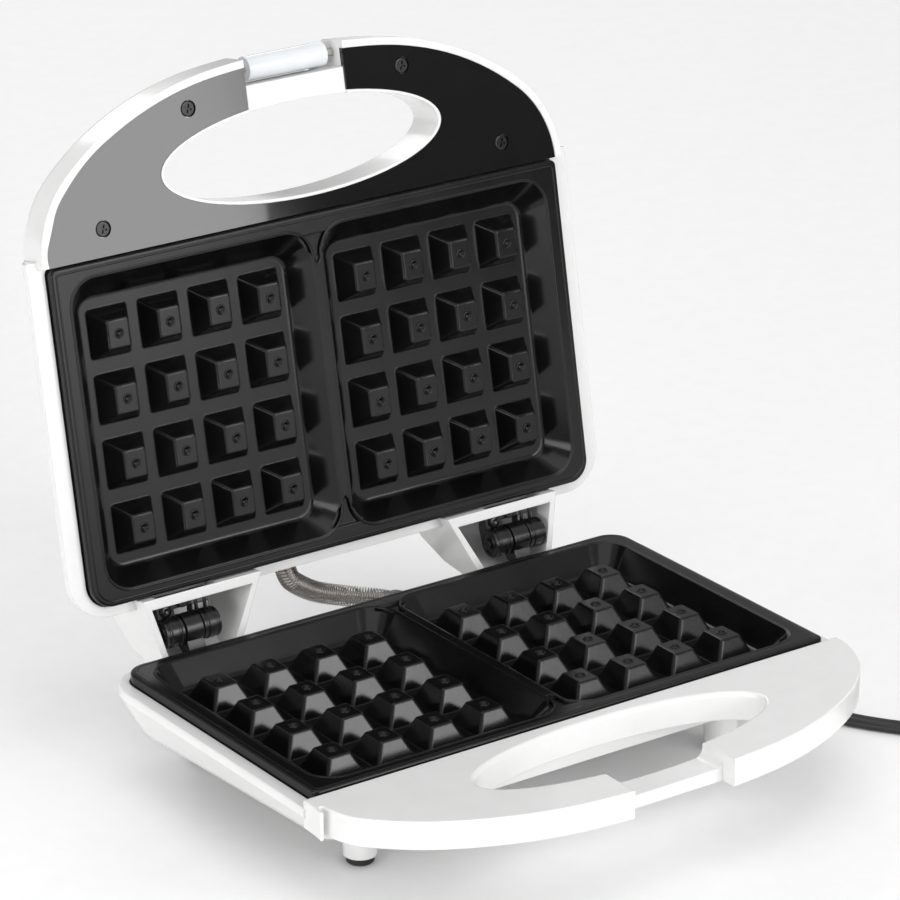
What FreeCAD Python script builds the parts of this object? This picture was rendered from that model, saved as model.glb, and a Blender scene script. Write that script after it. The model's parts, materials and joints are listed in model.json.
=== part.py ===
import FreeCAD, Part
import math
import os
from FreeCAD import Vector as V

# Electric two-slice waffle maker, modelled open.
# +X is to the user's right, -Y is the front (handle side), +Z is up, z = 0 is the table.
# Lengths in millimetres. Every piece is laid out in the "closed" layout, where y = 0 is
# the middle of the peg grid and z = 0 is the table; the lid group is then turned back
# about the hinge axis by lid_open_angle, and everything is shifted by y_shift so that
# the origin is the bottom centre of the standing object.

doc = FreeCAD.newDocument("WaffleMaker")
sheet = doc.addObject("Spreadsheet::Sheet", "dims")

DIMS = [
    ("peg_top_height", 41.4), ("lid_open_angle", 100.572), ("y_shift", -8.049),
    ("hinge_y", 76.86), ("hinge_z", 44.17), ("plate_gap", 3.6),
    ("pitch_across", 21.6), ("pitch_deep", 24.145), ("pocket_centre", 53.65),
    ("peg_top_w", 9.0), ("peg_top_d", 10.8), ("peg_foot_w", 17.6), ("peg_foot_d", 18.9),
    ("peg_height", 8.0), ("peg_round", 0.9), ("dimple_radius", 1.1),
    ("pocket_mouth_w", 102.0), ("pocket_mouth_d", 115.0),
    ("pocket_floor_w", 89.4), ("pocket_floor_d", 100.6),
    ("rim_above_pegs", 1.6), ("plate_half_w", 111.5), ("plate_front", -64.1), ("plate_back", 61.7),
    ("plate_back_round", 8.5), ("plate_skirt", 7.6), ("plate_wall", 2.6),
    ("base_half_w", 117.5), ("base_back", 66.0), ("base_front", -66.0), ("base_rim_drop", 2.2),
    ("base_deep_back", 27.5), ("base_deep_front", 17.0), ("base_round", 12.0), ("base_draft", 30.0), ("lid_draft", 36.0), ("back_corner", 16.0),
    ("shell_wall", 2.3), ("handle_top", 0.6), ("handle_bottom", -10.0),
    ("lid_half_w", 118.8), ("lid_rim", 5.8), ("lid_lip", 1.9), ("lid_high_back", 34.0),
    ("lid_high_front", 27.0), ("lid_round", 14.0), ("lid_handle_top", 18.6),
    ("hole_y", -89.2), ("hole_half_w", 61.5), ("hole_half_d", 18.7),
    ("latch_half_w", 21.5), ("latch_pin_y", -120.4), ("latch_pin_z", 10.0),
    ("latch_bar_radius", 4.6), ("latch_bar_length", 34.0), ("latch_arm_thick", 2.6), ("latch_arm_width", 30.0),
    ("latch_arm_length", 22.6), ("latch_lean", 27.0), ("latch_lip_depth", 4.9), ("latch_lip_thick", 2.2),
    ("pin_radius", 1.5), ("running_clearance", 0.05),
    ("cover_thick", 2.0), ("cover_inset", 3.0),
    ("foot_side", 80.0), ("foot_front", -44.0), ("foot_back", 57.0), ("pad_radius", 5.0), ("pad_height", 3.2),
    ("leg_low_radius", 6.1), ("leg_top_radius", 6.7), ("stem_radius", 2.0), ("stem_length", 5.0),
    ("hinge_centre", 73.9), ("knuckle_radius", 6.4), ("hinge_pin_radius", 2.0), ("hinge_pin_length", 25.6),
    ("lug_width", 7.6), ("middle_width", 7.0), ("hinge_leaf_thick", 2.2),
    ("screw_head_radius", 2.9), ("screw_head_height", 1.4), ("screw_radius", 1.4),
    ("element_radius", 2.6), ("reflector_thick", 0.5),
    ("guard_radius", 4.25), ("guard_bore", 3.3), ("guard_wire_radius", 2.2),
    ("cord_width", 7.0), ("cord_solid_radius", 2.7), ("relief_length", 24.0), ("relief_wall_radius", 5.6), ("relief_end_radius", 4.2),
    ("cord_exit_x", 36.0), ("cord_exit_drop", 19.0),
    ("coil_outer_radius", 47.5), ("coil_inner_radius", 28.0), ("coil_height", 8.0),
    ("plug_length", 26.0), ("plug_width", 17.0), ("plug_thick", 13.0), ("blade_length", 17.0), ("blade_width", 6.3), ("blade_thick", 1.5),
    ("lens_radius", 4.0), ("lens_height", 3.0), ("thermostat_radius", 7.0), ("thermostat_height", 9.0),
]
for row, (name, value) in enumerate(DIMS, start=1):
    sheet.set("A%d" % row, name)
    sheet.set("B%d" % row, repr(float(value)))
    sheet.setAlias("B%d" % row, name)
doc.recompute()


def d(name):
    return float(sheet.get(name))


H0 = d("peg_top_height")
HY, HZ = d("hinge_y"), d("hinge_z")
BASE = FreeCAD.Placement(V(0, d("y_shift"), 0), FreeCAD.Rotation())
LID = BASE.multiply(FreeCAD.Placement(V(0, 0, 0), FreeCAD.Rotation(V(1, 0, 0), -d("lid_open_angle")), V(0, HY, HZ)))
NODES = []


def z(rel):
    return H0 + rel


def keep(obj, label, group, local=None):
    obj.Label = label
    NODES.append((obj, label, group, local))
    return obj


def feature(label, shape, group):
    o = doc.addObject("Part::Feature", label)
    o.Shape = shape
    return keep(o, label, group)


# ---------------------------------------------------------------- plain shapes
def box(x0, x1, y0, y1, z0, z1):
    return Part.makeBox(x1 - x0, y1 - y0, z1 - z0, V(x0, y0, z0))


def cyl(r, h, pos, ax=V(0, 0, 1)):
    return Part.makeCylinder(r, h, pos, ax)


def rrect(x0, x1, y0, y1, r, zz):
    """Closed wire of a rectangle with corner radii r = (front left, front right, back right, back left)."""
    if not isinstance(r, (tuple, list)):
        r = (r,) * 4
    c = [(x0, y0, 180, r[0]), (x1, y0, 270, r[1]), (x1, y1, 0, r[2]), (x0, y1, 90, r[3])]
    sx = [1, -1, -1, 1]
    sy = [1, 1, -1, -1]
    pts = []
    for (cx, cy, a, rr), ux, uy in zip(c, sx, sy):
        if rr <= 0:
            pts.append((V(cx, cy, zz),) * 3)
            continue
        ox, oy = cx + ux * rr, cy + uy * rr
        p = [V(ox + rr * math.cos(math.radians(a + t)), oy + rr * math.sin(math.radians(a + t)), zz) for t in (0, 45, 90)]
        pts.append(tuple(p))
    edges = []
    for i in range(4):
        p0, pm, p1 = pts[i]
        if (p1 - p0).Length > 1e-6:
            edges.append(Part.Arc(p0, pm, p1).toShape())
        q = pts[(i + 1) % 4][0]
        if (q - p1).Length > 1e-6:
            edges.append(Part.LineSegment(p1, q).toShape())
    return Part.Wire(edges)


def slab(wire, z0, z1):
    f = Part.Face(wire)
    f.translate(V(0, 0, z0 - wire.BoundBox.ZMin))
    return f.extrude(V(0, 0, z1 - z0))


def ellipse(a, b, cy, zz):
    e = Part.Ellipse(V(0, cy, zz), a, b)
    return Part.Wire([e.toShape()])


def loft(w0, w1):
    return Part.makeLoft([w0, w1], True, True)


def fuse(*s):
    s = list(s)
    out = s[0].multiFuse(s[1:])
    return out.removeSplitter()


def try_fillet(shape, radius, pick):
    e = [x for x in shape.Edges if pick(x)]
    if not e:
        return shape
    for share in (1.0, 0.93, 0.85, 0.75, 0.6, 0.45):
        try:
            out = shape.makeFillet(radius * share, e)
            if out.isValid() and out.Volume > 0.5 * shape.Volume:
                if share < 1.0:
                    print("  fillet %.2f made as %.2f" % (radius, radius * share))
                return out
        except Exception:
            pass
    print("  fillet skipped, radius %.2f on %d edges" % (radius, len(e)))
    return shape


# ---------------------------------------------------------------- D-shaped handle outline
D_LOW = [(116.9, -65.0), (115.6, -73.0), (112.7, -81.0), (106.9, -90.6), (98.9, -98.3), (89.6, -104.9), (72.4, -113.9), (51.7, -120.8), (29.5, -124.5), (0.0, -125.6)]
D_LID = [(114.6, -65.0), (113.6, -73.0), (111.0, -81.0), (105.6, -90.6), (98.0, -98.3), (89.1, -104.9), (72.4, -113.9), (51.7, -120.9), (29.5, -124.6), (0.0, -125.7)]


def d_curve(points, inset=0.0, zz=0.0):
    pts = points + [(-x, y) for x, y in reversed(points[:-1])]
    vs = [V(x, y, 0) for x, y in pts]
    c = Part.BSplineCurve()
    c.interpolate(Points=vs, InitialTangent=V(0, -1, 0), FinalTangent=V(0, 1, 0))
    if inset:
        out = []
        n = 36
        for i in range(n + 1):
            u = c.FirstParameter + (c.LastParameter - c.FirstParameter) * i / n
            p, t = c.value(u), c.tangent(u)[0]
            nrm = V(-t.y, t.x, 0)
            if nrm.dot(V(0, -60, 0) - p) < 0:
                nrm = nrm * -1
            out.append(p + nrm * inset)
        c = Part.BSplineCurve()
        c.interpolate(Points=out)
    edges = [a.toShape() for a in c.toBiArcs(0.3)]
    for e in edges:
        e.translate(V(0, 0, zz))
    return edges


def d_wire(points, inset, back, zz):
    edges = d_curve(points, inset, zz)
    a, b = edges[0].valueAt(edges[0].FirstParameter), edges[-1].valueAt(edges[-1].LastParameter)
    pa, pb = V(a.x, back, zz), V(b.x, back, zz)
    if back > a.y + 1e-6:
        edges += [Part.LineSegment(b, pb).toShape(), Part.LineSegment(pb, pa).toShape(), Part.LineSegment(pa, a).toShape()]
    elif back < a.y - 1e-6:
        edges += [Part.LineSegment(b, a).toShape()]
        f = Part.Face(Part.Wire(edges)).cut(Part.makePlane(400, 200, V(-200, back, zz)))
        return max(f.Faces, key=lambda q: q.Area).OuterWire
    else:
        edges += [Part.LineSegment(b, a).toShape()]
    return Part.Wire(edges)


# ---------------------------------------------------------------- rounded pan, open at the rim
def pan(half_w, y0, y1, corner, rim, deep_back, deep_front, rnd, draft, inset):
    """Solid pan whose rim is at z = rim (relative to the peg tops, downwards = negative)."""
    land, lean = 3.0, math.tan(math.radians(draft))
    c = corner - inset
    x0, ya, yb = half_w - inset, y0 + inset, y1 - inset
    s = slab(rrect(-x0, x0, ya, yb, (0, 0, c, c), 0), z(rim - land), z(rim))
    x1 = x0 - 40.0 * lean
    low_w = rrect(-x1, x1, ya, yb, (0, 0, c, c), z(rim - land - 40.0))
    s = s.fuse(loft(low_w, rrect(-x0, x0, ya, yb, (0, 0, c, c), z(rim - land)))).removeSplitter()
    zb, zf = -deep_back + inset, -deep_front + inset
    slope = (zf - zb) / (y0 - y1)
    prof = Part.Face(Part.makePolygon([V(0, y0 - 20, z(-80)), V(0, y1 + 20, z(-80)), V(0, y1 + 20, z(zb + slope * 20)), V(0, y0 - 20, z(zf - slope * 20)), V(0, y0 - 20, z(-80))]))
    cut = prof.extrude(V(2 * half_w + 60, 0, 0))
    cut.translate(V(-half_w - 30, 0, 0))
    s = s.cut(cut)

    def low(e):
        vs = [v.Point for v in e.Vertexes]
        if not all(abs(p.z - z(zb + slope * (p.y - y1))) < 0.05 for p in vs):
            return False
        return not all(abs(p.y - (y0 + inset)) < 0.05 for p in vs)
    return try_fillet(s, rnd - inset, low)


# ---------------------------------------------------------------- cast plate with pegs
def cast_plate():
    """Lower plate in the closed layout; the lid's plate is its mirror image."""
    top = d("rim_above_pegs")
    hw, yf, yb = d("plate_half_w"), d("plate_front"), d("plate_back")
    rb = d("plate_back_round")
    wall = d("plate_wall")
    floor = -d("peg_height")
    body = slab(rrect(-hw, hw, yf, yb, (2.5, 2.5, rb, rb), 0), z(top - d("plate_skirt")), z(top))
    body = body.cut(slab(rrect(-hw + wall, hw - wall, yf + wall, yb - wall, (1, 1, rb - wall, rb - wall), 0), z(-30), z(top - 2.6)))
    mw, md, fw, fd = d("pocket_mouth_w") / 2, d("pocket_mouth_d") / 2, d("pocket_floor_w") / 2, d("pocket_floor_d") / 2
    yc = -1.0
    bowls, cavities, pegs, dimples = [], [], [], []
    for s in (-1, 1):
        cx = s * d("pocket_centre")
        m0 = rrect(cx - mw, cx + mw, yc - md, yc + md, 10.5, z(top))
        f0 = rrect(cx - fw, cx + fw, -fd, fd, 6.5, z(floor))
        cav = loft(m0, f0)
        cav = try_fillet(cav, 2.0, lambda e: all(abs(v.Point.z - z(floor)) < 1e-4 for v in e.Vertexes))
        cavities.append(cav)
        m1 = rrect(cx - mw - wall, cx + mw + wall, yc - md - wall, yc + md + wall, 12.5, z(top - 2.6))
        f1 = rrect(cx - fw - wall, cx + fw + wall, -fd - wall, fd + wall, 8.5, z(floor - wall))
        bowls.append(loft(m1, f1))
    one_w0 = rrect(-d("peg_foot_w") / 2, d("peg_foot_w") / 2, -d("peg_foot_d") / 2, d("peg_foot_d") / 2, 1.2, z(floor - 0.5))
    one_w1 = rrect(-d("peg_top_w") / 2, d("peg_top_w") / 2, -d("peg_top_d") / 2, d("peg_top_d") / 2, 1.0, z(0))
    peg = loft(one_w0, one_w1)
    peg = try_fillet(peg, d("peg_round") * 0.8, lambda e: all(abs(v.Point.z - z(0)) < 1e-4 for v in e.Vertexes))
    dim = Part.makeSphere(d("dimple_radius") * 1.25, V(0, 0, z(0.62)))
    peg = peg.cut(dim)
    for s in (-1, 1):
        for i in range(4):
            for j in range(4):
                q = peg.copy()
                q.translate(V(s * d("pocket_centre") + (i - 1.5) * d("pitch_across"), (j - 1.5) * d("pitch_deep"), 0))
                pegs.append(q)
    body = body.multiFuse(bowls)
    body = body.common(box(-hw, hw, yf, yb, z(-30), z(top)))
    body = body.cut(cavities)
    # shallow groove round each pocket mouth: leaves the double bead along the rim
    for s in (-1, 1):
        cx = s * d("pocket_centre")
        # V-shaped notches where the middle rib meets the front and back rims
    for yy, sg in ((yc - md, -1), (yc + md, 1)):
        tri = Part.Face(Part.makePolygon([V(-7.5, yy - sg * 2, z(top + 0.01)), V(7.5, yy - sg * 2, z(top + 0.01)), V(0, yy - sg * 13.0, z(top + 0.01)), V(-7.5, yy - sg * 2, z(top + 0.01))]))
        body = body.cut(tri.extrude(V(0, 0, -1.1)))
    body = try_fillet(body, 0.8, lambda e: abs(e.BoundBox.ZMin - z(top)) < 1e-4 and abs(e.BoundBox.ZMax - z(top)) < 1e-4
                      and (abs(abs(e.BoundBox.XMax) - hw) < 9 or abs(abs(e.BoundBox.XMin) - hw) < 9 or e.BoundBox.XLength > 180) and
                      (e.BoundBox.XMax > hw - 0.01 or e.BoundBox.XMin < -hw + 0.01 or e.BoundBox.YMax > yb - 0.01 or e.BoundBox.YMin < yf + 0.01))
    body = body.multiFuse(pegs)
    # screw bosses under the middle rib
    for by in (-42.0, 34.0):
        b = cyl(4.2, 11.0, V(0, by, z(-14))).cut(cyl(d("screw_radius") + 0.05, 9.0, V(0, by, z(-14.5))))
        body = body.fuse(b)
    # bosses in the back skirt that take the screws of the hinge brackets
    for sx in (-1, 1):
        for e in (-6.5, 6.5):
            hx = sx * d("hinge_centre") + e
            body = body.fuse(box(hx - 2.9, hx + 2.9, 57.6, yb - 0.02, z(-6.0), z(-1.2)))
            body = body.cut(cyl(1.25, 4.2, V(hx, 59.6, z(-6.1))))
    return body


# ================================================================ BASE GROUP
def ellipse_slab(a, b, z0, z1):
    return slab(ellipse(a, b, d("hole_y"), 0), z(z0), z(z1))


hw_p, yf_p, yb_p, rb_p = d("plate_half_w"), d("plate_front"), d("plate_back"), d("plate_back_round")
ha, hb = d("hole_half_w"), d("hole_half_d")
LH = d("latch_half_w")


def make_lower_housing():
    args = (d("base_half_w"), d("base_front"), d("base_back"), d("back_corner"), -d("base_rim_drop"), d("base_deep_back"), d("base_deep_front"), d("base_round"), d("base_draft"))
    w = d("shell_wall")
    outer = pan(*args, 0)
    outer = try_fillet(outer, 0.8, lambda e: e.BoundBox.ZMin > z(-d("base_rim_drop")) - 1e-3 and not all(abs(v.Point.y - d("base_front")) < 0.01 for v in e.Vertexes))
    inner = pan(*args, w)
    inner = inner.common(box(-200, 200, -64.7, 200, z(-60), z(-d("base_rim_drop") - 2.0)))
    mouth = slab(rrect(-hw_p - 0.5, hw_p + 0.5, yf_p - 0.6, yb_p + 0.5, (2.5, 2.5, rb_p + 0.5, rb_p + 0.5), 0), z(-6.6), z(5))
    grip = slab(d_wire(D_LOW, 0, -65.0, 0), z(d("handle_bottom")), z(d("handle_top")))
    grip = try_fillet(grip, 1.3, lambda e: abs(e.BoundBox.ZMin - z(d("handle_top"))) < 1e-4 and abs(e.BoundBox.ZMax - z(d("handle_top"))) < 1e-4 and e.Length < 220)
    grip = try_fillet(grip, 1.0, lambda e: abs(e.BoundBox.ZMin - z(d("handle_bottom"))) < 1e-4 and abs(e.BoundBox.ZMax - z(d("handle_bottom"))) < 1e-4 and e.Length < 220)
    shell = outer.fuse(grip).cut([inner, mouth])
    # finger hole
    shell = shell.cut(ellipse_slab(ha, hb, -40, 20))
    shell = try_fillet(shell, 1.6, lambda e: abs(e.BoundBox.ZMin - z(d("handle_top"))) < 1e-3 and abs(e.BoundBox.ZMax - z(d("handle_top"))) < 1e-3 and e.BoundBox.XLength > 100 and e.BoundBox.YMin > -110 and e.BoundBox.YMax < -66)
    # saddle and recess where the latch comes down
    yfh = d("hole_y") - hb
    saddle = box(-LH, LH, -130, -94, z(-4.9), z(5))
    saddle = try_fillet(saddle, 3.2, lambda e: e.BoundBox.XLength < 0.01 and e.BoundBox.ZLength < 0.01 and e.BoundBox.ZMin < z(-4.8) and e.BoundBox.YLength > 10)
    shell = shell.cut(saddle).cut(box(-LH, LH, -130, -118.4, z(-20), z(5)))
    # hollow of the grip, open underneath
    hollow = slab(d_wire(D_LOW, 2.4, -68.0, 0), z(d("handle_bottom") - 1), z(d("handle_top") - 2.4))
    hollow = hollow.cut([ellipse_slab(ha + 2.4, hb + 2.4, -40, 20), box(-LH - 2.4, LH + 2.4, -130, -100, z(-30), z(10))])
    for sx, sy in HANDLE_SCREWS:
        hollow = hollow.cut(cyl(3.6, 12, V(sx, sy, z(-8.0))))
    shell = shell.cut(hollow)
    seat = slab(d_wire(D_LOW, 2.3, -67.9, 0), z(d("handle_bottom") - 1), z(-7.9))
    seat = seat.cut([ellipse_slab(ha + 2.3, hb + 2.3, -40, 20), box(-LH - 2.3, LH + 2.3, -130, -100, z(-30), z(10)), box(-150, 150, -68.0, -60, z(-30), z(0))])
    shell = shell.cut(seat)
    for sx, sy in HANDLE_SCREWS:
        shell = shell.cut(cyl(d("screw_radius") + 0.03, 5.6, V(sx, sy, z(-8.05))))
    # legs
    parts = []
    for sx in (-1, 1):
        for fy in (d("foot_front"), d("foot_back")):
            leg = Part.makeCone(d("leg_low_radius"), d("leg_top_radius") + 0.3, z(-14.0) - 3.0, V(sx * d("foot_side"), fy, 3.0))
            leg = leg.cut(cyl(d("stem_radius") + 0.05, d("stem_length") + 0.5, V(sx * d("foot_side"), fy, 2.5)))
            parts.append(leg)
    # keep legs below the inside floor
    room = pan(*args, w * 0.5)
    parts = [p.cut(room) for p in parts]
    shell = shell.multiFuse(parts)
    # screw towers below the plate bosses
    for by in (-42.0, 34.0):
        tower = cyl(5.0, 30, V(0, by, z(-44.2))).common(pan(*args, 0.8))
        shell = shell.fuse(tower)
        shell = shell.cut(cyl(1.7, 40, V(0, by, z(-50))))
        shell = shell.cut(cyl(3.2, 40, V(0, by, z(screw_seat(by)) - 40)))
    # openings in the back wall: hinge arms, cord bush, spring guard
    for sx in (-1, 1):
        shell = shell.cut(box(sx * d("hinge_centre") - 4.2, sx * d("hinge_centre") + 4.2, 60, 70, z(-9.2), z(0)))
    # round boss for the bush of the lead, standing out of the curved foot of the back wall
    boss = cyl(8.0, 8.0, V(d("cord_exit_x"), d("base_back") - 8.0, z(-d("cord_exit_drop"))), V(0, 1, 0))
    boss = boss.cut(cyl(6.3, 6.0, V(d("cord_exit_x"), d("base_back") - 8.0 - 0.5, z(-d("cord_exit_drop"))), V(0, 1, 0)))
    shell = shell.fuse(boss)
    shell = shell.cut(cyl(4.6, 12, V(d("cord_exit_x"), 58, z(-d("cord_exit_drop"))), V(0, 1, 0)))
    shell = shell.cut(cyl(4.6, 8, V(22.0, 62, z(-12.0)), V(0, 1, 0)))
    # seats for the fixing screws of the hinge leaves
    return shell


def screw_seat(by):
    """Height of the screw head's seat under the tower at depth by."""
    slope = (d("base_deep_back") - d("base_deep_front")) / (d("base_back") - d("base_front"))
    return -d("base_deep_back") + slope * (d("base_back") - by) + 2.6


HANDLE_SCREWS = [(46.8, -111.4), (-46.8, -111.4), (87.8, -74.9), (-87.8, -74.9)]

feature("lower_housing", make_lower_housing(), "base")

# underside cover of the front grip
cov = slab(d_wire(D_LOW, 2.5, -68.1, 0), z(d("handle_bottom")), z(-8.0))
cov = cov.cut([ellipse_slab(ha + 2.5, hb + 2.5, -40, 20), box(-LH - 2.5, LH + 2.5, -130, -100, z(-30), z(10))])
for sx, sy in HANDLE_SCREWS:
    cov = cov.cut([cyl(1.6, 10, V(sx, sy, z(-14))), cyl(3.1, 3, V(sx, sy, z(-12.0)))])
feature("lower_grip_cover", cov, "base")

PLATE = cast_plate()
feature("lower_plate", PLATE, "base")


# ---------------------------------------------------------------- bound primitives
def p_cyl(name, r, h, pos, ax=V(0, 0, 1), er=None, eh=None):
    o = doc.addObject("Part::Cylinder", name)
    o.Radius, o.Height = r, h
    o.Placement = FreeCAD.Placement(pos, FreeCAD.Rotation(V(0, 0, 1), ax))
    if er:
        o.setExpression("Radius", er)
    if eh:
        o.setExpression("Height", eh)
    return o


def p_cone(name, r1, r2, h, pos, ax=V(0, 0, 1), e1=None, e2=None, eh=None):
    o = doc.addObject("Part::Cone", name)
    o.Radius1, o.Radius2, o.Height = r1, r2, h
    o.Placement = FreeCAD.Placement(pos, FreeCAD.Rotation(V(0, 0, 1), ax))
    for k, e in (("Radius1", e1), ("Radius2", e2), ("Height", eh)):
        if e:
            o.setExpression(k, e)
    return o


def p_box(name, x0, x1, y0, y1, z0, z1, ex=None, ey=None, ez=None):
    o = doc.addObject("Part::Box", name)
    o.Length, o.Width, o.Height = x1 - x0, y1 - y0, z1 - z0
    o.Placement = FreeCAD.Placement(V(x0, y0, z0), FreeCAD.Rotation())
    for k, e in (("Length", ex), ("Width", ey), ("Height", ez)):
        if e:
            o.setExpression(k, e)
    return o


def p_fuse(name, objs):
    o = doc.addObject("Part::MultiFuse", name)
    o.Shapes = objs
    return o


def p_cut(name, base, tool):
    o = doc.addObject("Part::Cut", name)
    o.Base, o.Tool = base, tool
    return o


def p_group(name, objs):
    o = doc.addObject("Part::Compound", name)
    o.Links = objs
    return o


# rubber pads under the four legs, each with a stem pressed into its leg
pads = []
for n, (sx, fy) in enumerate([(-1, "foot_front"), (1, "foot_front"), (-1, "foot_back"), (1, "foot_back")]):
    px, py = sx * d("foot_side"), d(fy)
    lo = p_cone("pad_low%d" % n, d("pad_radius") - 0.6, d("pad_radius"), 0.6, V(px, py, 0), e1="dims.pad_radius - 0.6", e2="dims.pad_radius")
    mid = p_cyl("pad_mid%d" % n, d("pad_radius"), d("pad_height") - 0.8, V(px, py, 0.6), er="dims.pad_radius", eh="dims.pad_height - 0.8")
    stem = p_cyl("pad_stem%d" % n, d("stem_radius"), d("stem_length"), V(px, py, 2.8), er="dims.stem_radius", eh="dims.stem_length - 0.2")
    pads.append(p_fuse("pad%d" % n, [lo, mid, stem]))
keep(p_group("foot_pads", pads), "foot_pads", "base")


# screws: pan head with a cross recess, head at pos, shank along ax
def screw(r_head, h_head, r, length, pos, ax, recess=0.9):
    s = cyl(r_head, h_head, V(0, 0, -h_head))
    s = try_fillet(s, h_head * 0.45, lambda e: e.BoundBox.ZMax < -h_head + 0.01)
    s = s.fuse(cyl(r, length, V(0, 0, -0.01)))
    for a in (0, 90):
        b = Part.makeBox(r_head * 1.15, 0.62, recess, V(-r_head * 0.575, -0.31, -h_head - 0.01))
        b.rotate(V(0, 0, 0), V(0, 0, 1), a + 20)
        s = s.cut(b)
    s.Placement = FreeCAD.Placement(pos, FreeCAD.Rotation(V(0, 0, 1), ax))
    return s


def screws(label, items, group):
    feature(label, Part.makeCompound([screw(*i) for i in items]), group)


RH, HH, RS = d("screw_head_radius"), d("screw_head_height"), d("screw_radius")
screws("grip_cover_screws", [(RH, 1.0, RS, 4.4, V(sx, sy, z(-9.0)), V(0, 0, 1), 0.6) for sx, sy in HANDLE_SCREWS], "base")
screws("plate_screws_lower", [(RH, 1.2, RS, 10.5, V(0, by, z(screw_seat(by))), V(0, 0, 1), 0.7) for by in (-42.0, 34.0)], "base")


# tube along straight runs joined by tangent arcs
def run_path(points, report=None, factor=0.45, radius=None):
    pts = [V(*p) for p in points]
    corners = []
    for i in range(1, len(pts) - 1):
        a, b, c = pts[i - 1], pts[i], pts[i + 1]
        u, w = (b - a), (c - b)
        lu, lw = u.Length, w.Length
        u.normalize()
        w.normalize()
        turn = math.acos(max(-1, min(1, u.dot(w))))
        r = factor * min(lu, lw) / math.tan(turn / 2) if radius is None else radius
        t = r * math.tan(turn / 2)
        s, e = b - u * t, b + w * t
        bis = (w - u)
        bis.normalize()
        cen = b + bis * (r / math.cos(turn / 2))
        mid = cen + (b - cen).normalize() * r
        corners.append((s, mid, e, r, math.degrees(turn), lu, lw))
    edges, at, length = [], pts[0], 0.0
    for s, mid, e, r, turn, lu, lw in corners:
        if (s - at).Length > 1e-5:
            edges.append(Part.LineSegment(at, s).toShape())
        edges.append(Part.Arc(s, mid, e).toShape())
        at = e
    edges.append(Part.LineSegment(at, pts[-1]).toShape())
    wire = Part.Wire(edges)
    if report:
        print(report, "runs", ["%.0f" % (pts[i + 1] - pts[i]).Length for i in range(len(pts) - 1)])
        print(report, "radii", ["%.0f" % c[3] for c in corners], "turns", ["%.0f" % c[4] for c in corners])
    return wire


def tube(wire, r, report=None):
    e = wire.Edges[0]
    p, t = e.valueAt(e.FirstParameter), e.tangentAt(e.FirstParameter)
    q = Part.Wire([Part.Circle(p, t, r).toShape()])
    s = wire.makePipeShell([q], True, True)
    if report:
        print(report, "length %.1f volume %.1f section x length %.1f" % (wire.Length, s.Volume, math.pi * r * r * wire.Length))
    return s


# tubular heating element under the lower plate: one open loop with its cold ends at the back
def element(zc, label, group):
    path = run_path([(-13, 50, zc), (-13, 40, zc), (-86, 40, zc), (-86, -32, zc), (86, -32, zc), (86, 40, zc), (13, 40, zc), (13, 50, zc)], radius=6.0)
    s = tube(path, d("element_radius"))
    pins = []
    for sx in (-1, 1):
        pins.append(cyl(1.1, 5.0, V(sx * 13, 49.5, zc), V(0, 1, 0)))
    s = s.multiFuse(pins)
    feature(label, s, group)


elz = -(d("peg_height") + d("plate_wall") + d("element_radius") + 0.1)
element(z(elz), "lower_heating_element", "base")

# two steel straps that hold the element up against the plate
er = d("element_radius")
straps = []
for n, sx in enumerate((-1, 1)):
    straps.append(p_box("low_strap%d" % n, sx * 86 - 12, sx * 86 + 12, -6, 6, z(elz - er - 1.1), z(elz - er - 0.1)))
keep(p_group("lower_element_clamps", straps), "lower_element_clamps", "base")

# reflector tray below the element
rz = elz - er - 1.8


def tray(cx, cy, lx, ly, z0, up, group, label, holes=(), flange=1.5):
    t = d("reflector_thick")
    w = slab(rrect(cx - lx / 2, cx + lx / 2, cy - ly / 2, cy + ly / 2, 8, 0), z0, z0 + up * (t + flange)) if up > 0 else slab(rrect(cx - lx / 2, cx + lx / 2, cy - ly / 2, cy + ly / 2, 8, 0), z0 - t - flange, z0)
    if up > 0:
        i = slab(rrect(cx - lx / 2 + t, cx + lx / 2 - t, cy - ly / 2 + t, cy + ly / 2 - t, 8 - t, 0), z0 + t, z0 + 20)
    else:
        i = slab(rrect(cx - lx / 2 + t, cx + lx / 2 - t, cy - ly / 2 + t, cy + ly / 2 - t, 8 - t, 0), z0 - 20, z0 - t)
    s = w.cut(i)
    for hx, hy, hr in holes:
        s = s.cut(cyl(hr, 60, V(hx, hy, z0 - 30)))
    feature(label, s, group)


tray(0, 16.0, 206, 68, z(rz - 0.5), 1, "base", "lower_reflector", holes=((0, 34, 7), (0, 6, 12)))

# bimetal thermostat on the underside of the plate, below the middle rib
th_base = p_cyl("th_low_disc", d("thermostat_radius"), 3.0, V(0, 6, z(-d("peg_height") - d("plate_wall") - 3.1)), er="dims.thermostat_radius")
th_body = p_cyl("th_low_body", 5.2, d("thermostat_height") - 3, V(0, 6, z(-d("peg_height") - d("plate_wall") - 0.1 - d("thermostat_height"))), eh="dims.thermostat_height - 2.9")
keep(p_fuse("lower_thermostat", [th_base, th_body]), "lower_thermostat", "base")

# ceramic terminal block at the back of the base
tb = p_box("tb_block", 52, 76, 46, 56, z(-23.4), z(-18.4))
tb_holes = p_fuse("tb_holes", [p_cyl("tb_h%d" % i, 1.3, 14, V(58 + 6 * i, 44, z(-20.9)), V(0, 1, 0)) for i in range(3)])
keep(p_cut("terminal_block", tb, tb_holes), "terminal_block", "base")


# ---------------------------------------------------------------- sketches and bodies
def plane(body, role):
    return [f for f in body.Origin.OriginFeatures if f.Role == role][0]


def new_body(name, role="XY_Plane"):
    b = doc.addObject("PartDesign::Body", name)
    return b


def new_sketch(body, name, role):
    s = body.newObject("Sketcher::SketchObject", name)
    s.AttachmentSupport = [(plane(body, role), "")]
    s.MapMode = "FlatFace"
    return s


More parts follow.
